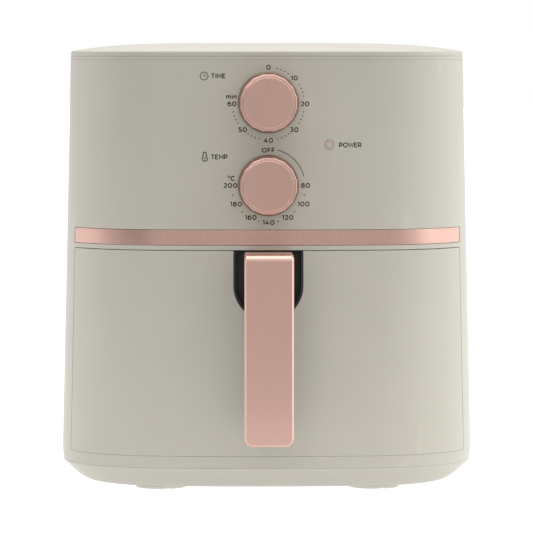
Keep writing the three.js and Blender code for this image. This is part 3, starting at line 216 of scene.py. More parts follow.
def smooth_group():
    """A node group that shades smooth and keeps edges sharper than its angle sharp."""
    group = bpy.data.node_groups.new("smooth_by_angle", "GeometryNodeTree")
    for way in ("INPUT", "OUTPUT"):
        group.interface.new_socket("Geometry", in_out=way, socket_type="NodeSocketGeometry")
    nodes, links = group.nodes, group.links
    start = nodes.new("NodeGroupInput")
    end = nodes.new("NodeGroupOutput")
    angle = nodes.new("GeometryNodeInputMeshEdgeAngle")
    compare = nodes.new("FunctionNodeCompare")
    compare.data_type = "FLOAT"
    compare.operation = "LESS_EQUAL"
    compare.inputs["B"].default_value = SMOOTH_ANGLE
    faces = nodes.new("GeometryNodeSetShadeSmooth")
    faces.domain = "FACE"
    edges = nodes.new("GeometryNodeSetShadeSmooth")
    edges.domain = "EDGE"
    links.new(start.outputs[0], faces.inputs["Geometry"])
    links.new(faces.outputs[0], edges.inputs["Geometry"])
    links.new(angle.outputs["Unsigned Angle"], compare.inputs["A"])
    links.new(compare.outputs["Result"], edges.inputs["Shade Smooth"])
    links.new(edges.outputs[0], end.inputs[0])
    return group


SMOOTH = smooth_group()


def soften(obj, bevel, segments=2, weld=False):
    """Rounds an object's sharp edges by bevel millimetres and shades it smooth between them."""
    if weld:
        merge = obj.modifiers.new("weld", "WELD")
        merge.merge_threshold = 1e-6
    if bevel:
        edge = obj.modifiers.new("edges", "BEVEL")
        edge.width = bevel * MM
        edge.segments = segments
        edge.limit_method = "ANGLE"
        edge.angle_limit = SMOOTH_ANGLE
        edge.use_clamp_overlap = True
    smooth = obj.modifiers.new("smooth", "NODES")
    smooth.node_group = SMOOTH
    normals = obj.modifiers.new("normals", "WEIGHTED_NORMAL")
    normals.keep_sharp = True


def add_object(name, data):
    obj = bpy.data.objects.new(name, data)
    bpy.context.scene.collection.objects.link(obj)
    return obj


def raw_object(name, points, faces):
    """A closed shape as an object, its faces turned outward."""
    mesh = bpy.data.meshes.new(name)
    mesh.from_pydata([Vector(p) * MM for p in points], [], faces)
    mesh.validate()
    turn = bmesh.new()
    turn.from_mesh(mesh)
    bmesh.ops.recalc_face_normals(turn, faces=turn.faces)
    turn.to_mesh(mesh)
    turn.free()
    return add_object(name, mesh)


def piece(name, shape, slot, body, replaces, bevel, segments=2, cuts=(), material=None):
    """A finished visible piece from (points, faces), in its slot's material unless another is given."""
    obj = raw_object(name, *shape)
    obj.data.materials.append(material or MATERIALS[slot])
    if cuts:
        boolean(obj, cuts)
    settle(obj, body, replaces, bevel, segments)


def settle(obj, body, replaces, bevel, segments=2):
    """Rounds a piece's edges and says which body it rides on and which nodes it replaces."""
    soften(obj, bevel, segments)
    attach(obj, body)
    if replaces:
        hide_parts(*replaces)


def boolean(obj, shapes, operation="DIFFERENCE"):
    """Cuts shapes out of an object, or joins them to it, and keeps the result as its mesh."""
    cutters = []
    for i, shape in enumerate(shapes):
        cutter = raw_object(f"cutter_{i}", *shape)
        cutters.append(cutter)
        cut = obj.modifiers.new(f"cut_{i}", "BOOLEAN")
        cut.operation = operation
        cut.solver = "EXACT"
        cut.object = cutter
    bpy.context.view_layer.update()
    made = bpy.data.meshes.new_from_object(obj.evaluated_get(bpy.context.evaluated_depsgraph_get()))
    obj.modifiers.clear()
    obj.data = made
    for cutter in cutters:
        bpy.data.objects.remove(cutter)


def loft(rings, closed_ring=True, wrap=False):
    """Points and faces through rings of equal point count. wrap joins the last ring to the first."""
    count = len(rings[0])
    points = [p for r in rings for p in r]
    faces = []
    last = len(rings) if wrap else len(rings) - 1
    for i in range(last):
        a = i * count
        b = ((i + 1) % len(rings)) * count
        for j in range(count if closed_ring else count - 1):
            k = (j + 1) % count
            faces.append((a + j, a + k, b + k, b + j))
    return points, faces


def capped(rings):
    """A closed solid through rings, with a flat cap at each end."""
    points, faces = loft(rings)
    count = len(rings[0])
    start = (len(rings) - 1) * count
    faces.append(tuple(reversed(range(count))))
    faces.append(tuple(range(start, start + count)))
    return points, faces


def cup(outer, inner):
    """A shell open at its foot: rings up the outside to a cap, then rings from a cap down the inside."""
    count = len(outer[0])
    points, faces = loft(outer)
    start = len(points)
    inner_points, inner_faces = loft(inner)
    points += inner_points
    faces += [tuple(start + v for v in f) for f in inner_faces]
    faces.append(tuple(range(start - count, start)))
    faces.append(tuple(reversed(range(start, start + count))))
    last = len(points) - count
    faces += [(last + j, last + (j + 1) % count, (j + 1) % count, j) for j in range(count)]
    return points, faces


def front_shell(levels, outer, inner, y_end):
    """A closed wall that follows the front of the outline between two insets, through heights."""
    rings = []
    for z in levels:
        far_side = list(reversed(front_arc(z, inner, y_end)))
        rings.append(front_arc(z, outer, y_end) + far_side)
    return capped(rings)


def lathe(profile, centre, axis="Z", steps=64, wrap=False):
    """A turned shape from (radius, height) points, about a line through centre along +Z or +Y."""
    rings = []
    for radius, height in profile:
        points = []
        for i in range(steps):
            angle = 2 * math.pi * i / steps
            u = radius * math.cos(angle)
            v = radius * math.sin(angle)
            offset = (u, v, height) if axis == "Z" else (v, height, u)
            points.append(tuple(c + o for c, o in zip(centre, offset)))
        rings.append(points)
    return loft(rings, wrap=True) if wrap else capped(rings)


def block(x0, x1, y0, y1, z0, z1):
    """A cutting box."""
    base = [(x0, y0), (x1, y0), (x1, y1), (x0, y1)]
    return capped([[(x, y, z) for x, y in base] for z in (z0, z1)])


def prism_y(outline, y0, y1):
    """A cutting prism from an (x, z) outline, counter-clockwise seen from the front."""
    return capped([[(x, y, z) for x, z in outline] for y in (y1, y0)])


def rounded_ring(half, y0, y1, radius, z, inset=0.0, steps=12):
    """A plan outline with four round corners between two y values, moved in by inset."""
    r = radius - inset
    x = half - radius
    side = math.pi / 2
    centres = [(x, y0 + radius), (x, y1 - radius), (-x, y1 - radius), (-x, y0 + radius)]
    points = []
    for i, (cx, cy) in enumerate(centres):
        points += arc(cx, cy, r, side * i, side * (i + 1), steps, z)
        last = side * (i + 1)
        points.append((cx + r * math.sin(last), cy - r * math.cos(last), z))
    return points


def smooth_curve(points, steps):
    """A Catmull-Rom curve through points of any dimension."""
    padded = [points[0], *points, points[-1]]
    made = []
    for i in range(1, len(padded) - 2):
        a, b, c, d = (Vector(padded[i + k]) for k in (-1, 0, 1, 2))
        for s in range(steps):
            t = s / steps
            made.append(
                0.5 * (2 * b + (c - a) * t + (2 * a - 5 * b + 4 * c - d) * t**2
                       + (3 * b - a - 3 * c + d) * t**3)
            )
    made.append(Vector(points[-1]))
    return made


# ---- materials

def srgb(r, g, b):
    """A linear colour from 8-bit display values."""
    def linear(v):
        v /= 255
        return v / 12.92 if v <= 0.04045 else ((v + 0.055) / 1.055) ** 2.4
    return linear(r), linear(g), linear(b), 1.0


def shade(colour, factor):
    return tuple(min(1.0, c * factor) for c in colour[:3]) + (1.0,)


def fill(node, **values):
    """Sets a helper node's sockets; an underscore stands for a space."""
    for name, value in values.items():
        node.inputs[name.replace("_", " ")].default_value = value


class Surface:
    """A Principled material and the nodes that vary it over the object's own coordinates."""

    def __init__(self, name, metallic=0.0, specular=0.5):
        self.material = bpy.data.materials.new(name)
        self.material.use_nodes = True
        self.nodes = self.material.node_tree.nodes
        self.links = self.material.node_tree.links
        self.shader = self.nodes["Principled BSDF"]
        self.shader.inputs["Metallic"].default_value = metallic
        self.shader.inputs["Specular IOR Level"].default_value = specular
        self.place = self.nodes.new("ShaderNodeTexCoord").outputs["Object"]

    def noise(self, size, stretch=(1, 1, 1), detail=3.0):
        """Noise with features of size millimetres, stretched along the axes."""
        mapping = self.nodes.new("ShaderNodeMapping")
        fill(mapping, Scale=[1 / s for s in stretch])
        self.links.new(self.place, mapping.inputs["Vector"])
        noise = self.nodes.new("ShaderNodeTexNoise")
        fill(noise, Scale=1 / (size * MM), Detail=detail)
        self.links.new(mapping.outputs["Vector"], noise.inputs["Vector"])
        return noise.outputs["Fac"]

    def ranged(self, value, low, high, from_low=0.3, from_high=0.7):
        """Maps a value's range to another."""
        node = self.nodes.new("ShaderNodeMapRange")
        fill(node, From_Min=from_low, From_Max=from_high, To_Min=low, To_Max=high)
        self.links.new(value, node.inputs["Value"])
        return node.outputs["Result"]

    def mix(self, factor, a, b):
        node = self.nodes.new("ShaderNodeMix")
        node.data_type = "RGBA"
        self.links.new(factor, node.inputs["Factor"])
        for socket, value in ((node.inputs["A"], a), (node.inputs["B"], b)):
            if isinstance(value, tuple):
                socket.default_value = value
            else:
                self.links.new(value, socket)
        return node.outputs["Result"]

    def edges(self, start=0.53, end=0.62):
        """How much a point lies on an outer edge, from the mesh's own curvature; it places edge wear and a
        painted edge highlight.
        """
        geometry = self.nodes.new("ShaderNodeNewGeometry")
        return self.ranged(geometry.outputs["Pointiness"], 0.0, 1.0, start, end)

    def colour(self, value):
        self.links.new(value, self.shader.inputs["Base Color"])

    def roughness(self, value):
        self.links.new(value, self.shader.inputs["Roughness"])

    def bump(self, value, height, strength=0.5):
        """Relief of height millimetres."""
        node = self.nodes.new("ShaderNodeBump")
        fill(node, Distance=height * MM, Strength=strength)
        self.links.new(value, node.inputs["Height"])
        self.links.new(node.outputs["Normal"], self.shader.inputs["Normal"])

    def finish(self, colour, roughness, mottle, spread, grain, height, edge_wear_and_highlight=None, stretch=(1, 1, 1),
               patch=30.0):
        """Broad colour drift, fine grain in gloss and relief, and a lighter tint along the outer edges that
        is partly edge wear, partly a painted highlight.
        """
        drift = self.ranged(self.noise(patch), 0.0, 1.0)
        tint = self.mix(drift, shade(colour, 1 - mottle), shade(colour, 1 + mottle))
        fine = self.noise(grain, stretch)
        # Lighter along outer edges: partly edge wear, partly a painted highlight.
        if edge_wear_and_highlight:
            tint = self.mix(self.edges(), tint, shade(colour, edge_wear_and_highlight))
        self.colour(tint)
        self.roughness(self.ranged(fine, roughness - spread, roughness + spread))
        self.bump(fine, height)
        return self.material


def cream_plastic():
    surface = Surface("cream_plastic", specular=0.45)
    return surface.finish(srgb(*CREAM), 0.38, 0.012, 0.05, 0.55, 0.02, 1.08)


def rose_metal(name, display, roughness):
    surface = Surface(name, 0.88)
    return surface.finish(srgb(*display), roughness, 0.02, 0.03, 0.5, 0.003, 1.12, (5, 1, 1))


def moulded(name, display, roughness, grain=0.7, height=0.03, specular=0.5):
    surface = Surface(name, specular=specular)
    return surface.finish(srgb(*display), roughness, 0.05, 0.06, grain, height, 1.5)


def sheet_metal(name, display, roughness, stretch=(1, 12, 1), grain=0.25):
    surface = Surface(name, 1.0)
    return surface.finish(srgb(*display), roughness, 0.05, 0.1, grain, 0.01, 1.3, stretch)


def nonstick():
    surface = Surface("nonstick_coating")
    colour = srgb(48, 48, 50)
    speck = surface.ranged(surface.noise(0.9, detail=1.0), 0.0, 1.0, 0.64, 0.7)
    drift = surface.ranged(surface.noise(25.0), 0.0, 1.0)
    tint = surface.mix(drift, shade(colour, 0.9), shade(colour, 1.15))
    tint = surface.mix(speck, tint, srgb(118, 118, 120))
    tint = surface.mix(surface.edges(), tint, srgb(84, 84, 86))
    surface.colour(tint)
    fine = surface.noise(0.5)
    surface.roughness(surface.ranged(fine, 0.3, 0.48))
    surface.bump(fine, 0.03)
    return surface.material


def winding():
    """Enamelled wire laid side by side round the core's leg."""
    surface = Surface("copper_winding", 0.9)
    wave = surface.nodes.new("ShaderNodeTexWave")
    wave.bands_direction = "X"
    wire = 0.9
    fill(wave, Scale=1 / (wire * MM) / 6, Distortion=0.6, Detail_Scale=40.0)
    surface.links.new(surface.place, wave.inputs["Vector"])
    colour = srgb(168, 92, 52)
    surface.colour(surface.mix(wave.outputs["Fac"], shade(colour, 0.6), shade(colour, 1.15)))
    surface.roughness(surface.ranged(surface.noise(2.0), 0.25, 0.4))
    surface.bump(wave.outputs["Fac"], 0.3, 0.8)
    return surface.material


CREAM = (174, 170, 159)
ROSE = (201, 164, 152)
MATERIALS = {
    "cream_shell": cream_plastic(),
    "rose_gold": rose_metal("rose_gold_satin", ROSE, 0.3),
    "black_plastic": moulded("black_moulding", (29, 29, 28), 0.5),
    "grey_plastic": moulded("grey_moulding", (92, 90, 86), 0.55, 0.9, 0.04),
    "rubber_foot": moulded("foot_rubber", (204, 200, 190), 0.8, 0.5, 0.05, 0.3),
    "silicone": moulded("silicone_pad", (52, 52, 54), 0.65, 0.4, 0.02, 0.35),
    "bright_steel": sheet_metal("bright_steel", (196, 197, 198), 0.28),
    "sheet_steel": sheet_metal("aluminised_sheet", (176, 178, 180), 0.42, (1, 1, 1), 2.5),
    "nonstick": nonstick(),
    "copper": winding(),
    "fan_aluminium": sheet_metal("rolled_aluminium", (205, 207, 209), 0.36),
    "bush_brass": sheet_metal("sintered_brass", (190, 160, 98), 0.4, (1, 1, 1), 0.4),
    "ceramic_white": moulded("heat_resistant_moulding", (222, 217, 205), 0.5, 0.8, 0.02),
    "lamp_lens": rose_metal("lamp_ring_copper", (206, 178, 160), 0.55),
}
# A darker copy of the rose gold: painted shade for the collar that sits under the knob cap.
COLLAR_SHADED_METAL = rose_metal("collar_painted_shade", (140, 116, 102), 0.5)
PRINT_INK = moulded("print_ink", (20, 19, 18), 0.7, 0.2, 0.004, 0.1)


# ---- housing

LEVELS = [0.0, 1.6, WALL]  # insets of the outer skin, the band's groove and the inner skin


def housing_skin():
    """The housing's wall as a grid of cells, each at one of LEVELS or open."""
    beside_drawer, above_vent = (60, 100, 140), 285
    heights = [HOUSING_LOW.z, SILL_Z, *beside_drawer, DRAWER_TOP_Z, BAND_Z, BAND_TOP_Z]
    heights += [VENT_Z, VENT_TOP_Z, above_vent, HOUSING_HIGH.z]
    inner = len(LEVELS) - 1
    rings = {(i, k): ring(z, LEVELS[k]) for i, z in enumerate(heights) for k in range(len(LEVELS))}
    columns = len(COLUMN_TAGS)
    points, index, faces = [], {}, []

    def vertex(i, j, k):
        key = (i, j % columns, k)
        if key not in index:
            index[key] = len(points)
            points.append(rings[(i, k)][j % columns])
        return index[key]

    def level(i, j):
        """A cell's outer level, or the inner one where the wall is open."""
        if not 0 <= i < len(heights) - 1:
            return inner
        tag = COLUMN_TAGS[j % columns]
        z = (heights[i] + heights[i + 1]) / 2
        if tag == "front" and SILL_Z < z < DRAWER_TOP_Z:
            return inner
        if tag == "vent" and VENT_Z < z < VENT_TOP_Z:
            return inner
        if tag in ("front", "lap") and BAND_Z < z < BAND_TOP_Z:
            return 1
        return 0

    def wall(edge, here, there):
        """Faces between two neighbouring cells, from this cell's level to the other's."""
        (i0, j0), (i1, j1) = edge
        low, high = sorted((here, there))
        for k in range(low, high):
            quad = [vertex(i0, j0, k), vertex(i1, j1, k), vertex(i1, j1, k + 1), vertex(i0, j0, k + 1)]
            faces.append(quad if here < there else quad[::-1])

    for i in range(-1, len(heights) - 1):
        for j in range(columns):
            here = level(i, j)
            if here != inner:
                outer = [vertex(i, j, here), vertex(i, j + 1, here)]
                faces.append(outer + [vertex(i + 1, j + 1, here), vertex(i + 1, j, here)])
                back = [vertex(i, j, inner), vertex(i + 1, j, inner)]
                faces.append(back + [vertex(i + 1, j + 1, inner), vertex(i, j + 1, inner)])
            wall(((i + 1, j + 1), (i + 1, j)), here, level(i + 1, j))
            if i >= 0:
                wall(((i, j + 1), (i + 1, j + 1)), here, level(i, j + 1))
    return points, faces


LEDGE = 2.3  # thickness
LEDGE_DEPTH = 17.0
WEB = 2.5  # thickness of the side walls
DIAL_HOLE, LAMP_HOLE, CORD_HOLE = 10.5, 3.1 + GAP, 8.0  # radii


def opening_frame():
    """The ledges above and below the drawer, and the side walls between them."""
    _, chamber_high = box_mm("inner_chamber")
    end = WRAP_Y + WEB
    shapes = [
        front_shell([SILL_Z - LEDGE, SILL_Z], WALL / 2, LEDGE_DEPTH, end),
        front_shell([DRAWER_TOP_Z, DRAWER_TOP_Z + LEDGE], WALL / 2, LEDGE_DEPTH, end),
    ]
    for side in (-1, 1):
        rings = []
        for z in (SILL_Z - LEDGE, DRAWER_TOP_Z + LEDGE):
            inner = side * (chamber_high.x + GAP)
            outer = side * abs(front_arc(z, WALL / 2, WRAP_Y)[0][0])
            corners = [(inner, WRAP_Y, z), (outer, WRAP_Y, z), (outer, end, z), (inner, end, z)]
            rings.append(corners if side > 0 else corners[::-1])
        shapes.append(capped(rings))
    return shapes


def round_cut(x, z, radius, y0, y1):
    return lathe([(radius, y0), (radius, y1)], (x, 0, z), "Y", 48)


def dial_centres():
    """The z of each dial's axis."""
    for collar in ("timer_collar", "temperature_collar"):
        low, high = box_mm(collar)
        yield (low.z + high.z) / 2


def make_housing():
    obj = raw_object("housing_skin", *housing_skin())
    obj.data.materials.append(MATERIALS["cream_shell"])
    boolean(obj, opening_frame(), "UNION")
    gland_low, gland_high = box_mm("cord_gland")
    gland = (gland_low + gland_high) / 2
    lens_low, lens_high = box_mm("power_lens")
    lens = (lens_low + lens_high) / 2
    cuts = [round_cut(0, z, DIAL_HOLE, FRONT_Y - 5, FRONT_Y + 10) for z in dial_centres()]
    cuts.append(round_cut(lens.x, lens.z, LAMP_HOLE, FRONT_Y - 5, FRONT_Y + 10))
    cuts.append(round_cut(gland.x, gland.z, CORD_HOLE, BACK_Y - 15, BACK_Y + 5))
    boolean(obj, cuts)
    settle(obj, "housing", ["main_housing"], 0.2)


def make_trim_band():
    skin = front_shell([BAND_LOW.z, BAND_HIGH.z], GAP, GAP + 1, LAP_Y - GAP)
    piece("trim_band_skin", skin, "rose_gold", "housing", ["trim_band"], 0.25)


# ---- lid and base

def scaled_ring(z, inset, share, height):
    """A ring shrunk towards the middle of the plan and set at a height."""
    return [(x * share, MIDDLE_Y + (y - MIDDLE_Y) * share, height) for x, y, _ in ring(z, inset)]


def dome(rim, crown, inset, shares):
    """Rings that rise by crown from a rim towards the middle, at shares of the rim's size."""
    steepness = 4.5
    return [scaled_ring(rim, inset, k, rim + crown * (1 - k**steepness)) for k in shares]


def make_lid():
    lip = WALL + 2 * GAP
    foot = HOUSING_HIGH.z + HAIRLINE
    crown = 5.9
    rim = LID_HIGH.z - crown
    groove = LID_Z + 1.8
    groove_depth = 0.3
    side = [(LID_LOW.z, lip), (foot, lip), (foot, 0), (groove, 0), (groove, groove_depth)]
    side += [(groove + SEAM, groove_depth), (groove + SEAM, 0)]
    side += [(rim - drop, inset) for drop, inset in ((1.4, 0), (0.6, 0.22), (0.15, 0.62))]
    shares = [1, 0.985, 0.965, 0.94, 0.9, 0.85, 0.78, 0.7, 0.6, 0.45, 0.3, 0.15]
    outer = [ring(z, inset) for z, inset in side] + dome(rim, crown * 0.999, 1.2, shares)
    wall = 2.2
    inner_lip = lip + 2
    inner = dome(rim - wall, crown, inner_lip, [0.15, 0.3, 0.45, 0.6, 0.75, 0.9, 1])
    inner.append(ring(LID_LOW.z, inner_lip))
    piece("lid_skin", cup(outer, inner), "cream_shell", "housing", ["top_cover"], 0.2)


def base_profile():
    """The turned-in lower edge as (height above the underside, inset)."""
    rise = CREASE_Z - BASE_LOW.z
    marks = [(0.0, 24.0), (0.7, 18.5)]
    marks += [(share * rise, inset) for share, inset in ((0.15, 14.5), (0.35, 10.0), (0.65, 5.2), (1, 0.0))]
    return [(p.x, p.y) for p in smooth_curve(marks, 4)]


def make_base():
    lip = WALL + 2 * GAP
    wall = 2.3
    outer = [ring(BASE_LOW.z + h, inset) for h, inset in base_profile()]
    rim = HOUSING_LOW.z - HAIRLINE
    outer += [ring(rim, 0), ring(rim, lip), ring(BASE_HIGH.z, lip)]
    inner_lip = lip + 2
    inner = [ring(BASE_HIGH.z, inner_lip), ring(CREASE_Z, inner_lip)]
    inner += [ring(BASE_LOW.z + h + wall, inset + wall) for h, inset in reversed(base_profile()[:-4])]
    cuts = []
    slots, pitch, half_slot, reach = 6, 12.0, 2.0, 30.0
    for i in range(slots):
        x = (i - (slots - 1) / 2) * pitch
        cuts.append(block(x - half_slot, x + half_slot, MIDDLE_Y - reach, MIDDLE_Y + reach, 0, CREASE_Z))
    piece("base_skin", capped(outer + inner), "cream_shell", "housing", ["base_tray"], 0.12, cuts=cuts)


def make_feet():
    for name in ("front_left", "front_right", "rear_left", "rear_right"):
        low, high = box_mm(f"foot_{name}")
        centre = (low + high) / 2
        radius = high.x - centre.x
        top = BASE_LOW.z - GAP
        profile = [(radius - 6, 0), (radius - 1.4, 0), (radius - 0.5, 0.4), (radius, 1.2), (radius, top)]
        profile += [(4, top), (4, high.z - 3.5), (5.4, high.z - 3.4), (3, high.z), (1, high.z)]
        pad = lathe(profile, (centre.x, centre.y, 0))
        piece(f"foot_{name}_pad", pad, "rubber_foot", "housing", [f"foot_{name}"], 0.15)


# ---- dials

def make_collar(name, z):
    low, high = box_mm(f"{name}_collar")
    radius = high.x
    front = low.y
    back = FRONT_Y - GAP
    bore, sleeve = 8, DIAL_HOLE - GAP
    profile = [(bore, front), (radius - 1.3, front), (radius - 0.55, front + 0.25), (radius, front + 1.1)]
    profile += [(radius, back), (sleeve, back), (sleeve, high.y), (bore, high.y)]
    turned = lathe(profile[::-1], (0, 0, z), "Y", 96, wrap=True)
    # The collar takes the darker copy of the rose gold, painted shade beneath the cap.
    piece(f"{name}_collar_ring", turned, "rose_gold", "housing", [f"{name}_collar"], 0.12,
          material=COLLAR_SHADED_METAL)


FACETS = 16


def faceted_ring(apothem, y, z, roundness=0.0, per_facet=6):
    """A ring of a many-sided cap with a flat facet on top, blended towards a circle by roundness."""
    facet = 2 * math.pi / FACETS
    points = []
    for i in range(FACETS * per_facet):
        angle = facet * (i / per_facet + 0.5)
        away = (angle + facet / 2) % facet - facet / 2
        radius = apothem * ((1 - roundness) / math.cos(away) + roundness)
        points.append((radius * math.sin(angle), y, z + radius * math.cos(angle)))
    return points


def make_knob(name, z):
    low, high = box_mm(f"{name}_knob")
    apothem = (high.z - low.z) / 2
    front, back = low.y, high.y
    bevel, wall, fall, edge, groove = 1.9, 2.0, 0.42, 0.35, 0.15
    outer = [
        faceted_ring(apothem - 0.5, back, z),
        faceted_ring(apothem, back - 0.5, z),
        faceted_ring(apothem, front + fall + edge, z),
        faceted_ring(apothem - edge, front + fall, z),
        faceted_ring(apothem - bevel, front + groove, z, 0.1),
        faceted_ring(apothem - bevel - groove, front + 2 * groove, z, 0.12),
        faceted_ring(apothem - bevel - 3 * groove, front, z, 0.15),
    ]
    inner = [
        faceted_ring(apothem - bevel - 1.6, front + wall + 1, z, 0.5),
        faceted_ring(apothem - wall, back, z),
    ]
    top = apothem - bevel - 3.6
    half, depth, length = 0.8, 0.3, 6.0
    pointer = block(-half, half, front - 1, front + depth, z + top - length, z + top)
    dial = f"{name}_dial"
    piece(f"{name}_knob_cap", cup(outer, inner), "rose_gold", dial, [f"{name}_knob"], 0.05, cuts=[pointer])
    bore, hub_radius, hub_front = 3.3, 6.5, front + wall
    profile = [(bore, back), (hub_radius, back), (hub_radius, hub_front), (bore, hub_front)]
    hub = lathe(profile, (0, 0, z), "Y", 48, wrap=True)
    piece(f"{name}_knob_hub", hub, "black_plastic", dial, (), 0.2)


# ---- printed marks

INK = 0.03  # thickness of the printed layer
WORD_HEIGHT = 3.6
DIAL_MARK_RADIUS = 25.9
DIGIT_HEIGHT = 3.55
STROKE = 0.68  # of letters and signs
ARC_STROKE = 0.5
LETTER_GAP = 0.5
MITRE_LIMIT = 0.6  # keeps sharp corners of a band from running out
DOT = 0.46  # radius


BOWL = [(0, 0), (0, 1), (0.36, 1)] + bow(0.36, 0.68, 0.3, 0.32, 90, -90) + [(0, 0.36)]

# Each letter's width and its strokes' centre lines, with the capital height as one.
LETTERS = {
    "0": (0.84, [bow(0.42, 0.5, 0.42, 0.5)]),
    "1": (0.3, [[(0, 0.86), (0.3, 1), (0.3, 0)]]),
    "2": (0.68, [bow(0.33, 0.68, 0.33, 0.32, 165, -35) + [(0, 0), (0.68, 0)]]),
    "3": (0.66, [[(0.04, 1), (0.6, 1), (0.3, 0.6)] + bow(0.32, 0.3, 0.34, 0.3, 85, -150)]),
    "4": (0.8, [[(0.5, 1), (0, 0.27), (0.8, 0.27)], [(0.56, 0.6), (0.56, 0)]]),
    "5": (0.66, [[(0.6, 1), (0.12, 1), (0.07, 0.56)] + bow(0.3, 0.3, 0.36, 0.31, 95, -145)]),
    "6": (0.74, [bow(0.37, 0.33, 0.37, 0.33), bow(0.56, 0.4, 0.56, 0.6, 180, 88)]),
    "8": (0.74, [bow(0.37, 0.28, 0.37, 0.28), bow(0.37, 0.78, 0.3, 0.22)]),
    "C": (0.84, [bow(0.5, 0.5, 0.5, 0.5, 45, 315)]),
    "E": (0.6, [[(0.6, 1), (0, 1), (0, 0), (0.6, 0)], [(0, 0.5), (0.54, 0.5)]]),
    "F": (0.6, [[(0.6, 1), (0, 1), (0, 0)], [(0, 0.48), (0.54, 0.48)]]),
    "I": (0.0, [[(0, 1), (0, 0)]]),
    "M": (0.9, [[(0, 0), (0, 1), (0.45, 0.3), (0.9, 1), (0.9, 0)]]),
    "O": (1.0, [bow(0.5, 0.5, 0.5, 0.5)]),
    "P": (0.66, [BOWL]),
    "R": (0.66, [BOWL, [(0.34, 0.36), (0.66, 0)]]),
    "T": (0.72, [[(0, 1), (0.72, 1)], [(0.36, 1), (0.36, 0)]]),
    "W": (1.2, [[(0, 1), (0.3, 0), (0.6, 1), (0.9, 0), (1.2, 1)]]),
    "i": (0.0, [[(0, 0.72), (0, 0)], [(0, 0.95), (0, 1.08)]]),
    "m": (0.96, [[(0, 0.72), (0, 0)], bow(0.24, 0.44, 0.24, 0.26, 170, 0) + [(0.48, 0)],
                 bow(0.72, 0.44, 0.24, 0.26, 170, 0) + [(0.96, 0)]]),
    "n": (0.52, [[(0, 0.72), (0, 0)], bow(0.26, 0.44, 0.26, 0.26, 170, 0) + [(0.52, 0)]]),
}


class Print:
    """Marks gathered into one mesh that lies on the crowned front face."""

    def __init__(self):
        self.points = []
        self.faces = []

    def add(self, flat, faces):
        """Adds (x, z, raised) points, where raised is 0 on the face and 1 on top of the ink."""
        start = len(self.points)
        for x, z, raised in flat:
            self.points.append((x, FRONT_Y + crown_drop(x) + 0.01 - INK * raised, z))
        self.faces += [tuple(start + v for v in f) for f in faces]

    def trace(self, path, width):
        """A band of even width along an (x, z) path, closed where the path ends on its start."""
        points = [Vector(p) for p in path]
        whole = (points[0] - points[-1]).length < 1e-4
        if whole:
            points.pop()
        count = len(points)
        flat = []
        for i, point in enumerate(points):
            into = point - points[i - 1] if whole or i else points[1] - point
            out = points[(i + 1) % count] - point if whole or i < count - 1 else into
            into.normalize()
            along = (into + out.normalized()).normalized()
            stretch = 1 / max(MITRE_LIMIT, along.dot(into))
            side = Vector((-along.y, along.x)) * stretch * width / 2
            low, high = point - side, point + side
            flat += [(low.x, low.y, 0), (low.x, low.y, 1), (high.x, high.y, 1), (high.x, high.y, 0)]
        faces = []
        for i in range(count if whole else count - 1):
            a, b = 4 * i, 4 * ((i + 1) % count)
            faces += [(a + k, b + k, b + (k + 1) % 4, a + (k + 1) % 4) for k in range(4)]
        if not whole:
            faces += [(3, 2, 1, 0), tuple(4 * (count - 1) + k for k in range(4))]
        self.add(flat, faces)

    def ribbon(self, centre, radius, start, end, width, steps):
        """An arc band; angles are degrees clockwise from the top."""
        angles = [start + (end - start) * i / steps for i in range(steps + 1)]
        self.trace([polar(centre, radius, angle) for angle in angles], width)

    def dot(self, x, z, radius, steps=16):
        angles = [2 * math.pi * i / steps for i in range(steps)]
        flat = [(x + radius * math.cos(a), z + radius * math.sin(a), s) for s in (0, 1) for a in angles]
        faces = [tuple(reversed(range(steps))), tuple(range(steps, 2 * steps))]
        faces += [(j, (j + 1) % steps, steps + (j + 1) % steps, steps + j) for j in range(steps)]
        self.add(flat, faces)

    def text(self, body, x, z, height, width=None, align="CENTER"):
        """A word or number whose capitals are height tall, centred on a point, or starting there."""
        size = height - STROKE
        breadth = sum(LETTERS[c][0] for c in body) * size + STROKE * len(body)
        gap = (width - breadth) / (len(body) - 1) if width else LETTER_GAP
        start = x - (breadth + gap * (len(body) - 1)) / 2 if align == "CENTER" else x
        for letter in body:
            across, strokes = LETTERS[letter]
            for stroke in strokes:
                path = [(start + STROKE / 2 + u * size, z + (v - 0.5) * size) for u, v in stroke]
                self.trace(path, STROKE)
            start += across * size + STROKE + gap


def polar(centre, radius, degrees):
    """A point round a centre; degrees clockwise from the top."""
    angle = math.radians(degrees)
    return centre[0] + radius * math.sin(angle), centre[1] + radius * math.cos(angle)


def print_timer(marks, z):
    """Minutes 0 to 60 round the upper dial, with four dots between numbers."""
    centre = (0, z - 0.85)
    for i in range(7):
        marks.text(str(10 * i), *polar(centre, DIAL_MARK_RADIUS, 45 * i), DIGIT_HEIGHT)
    x, y = polar(centre, DIAL_MARK_RADIUS, 270)
    marks.text("min", x - 0.4, y + 5.2, WORD_HEIGHT, 7.4)
    for middle in (23.5, 68, 112.5, 155.5, 204.5, 247.5):
        for i in range(4):
            marks.dot(*polar(centre, DIAL_MARK_RADIUS - 0.2, middle + 6.4 * (i - 1.5)), DOT)


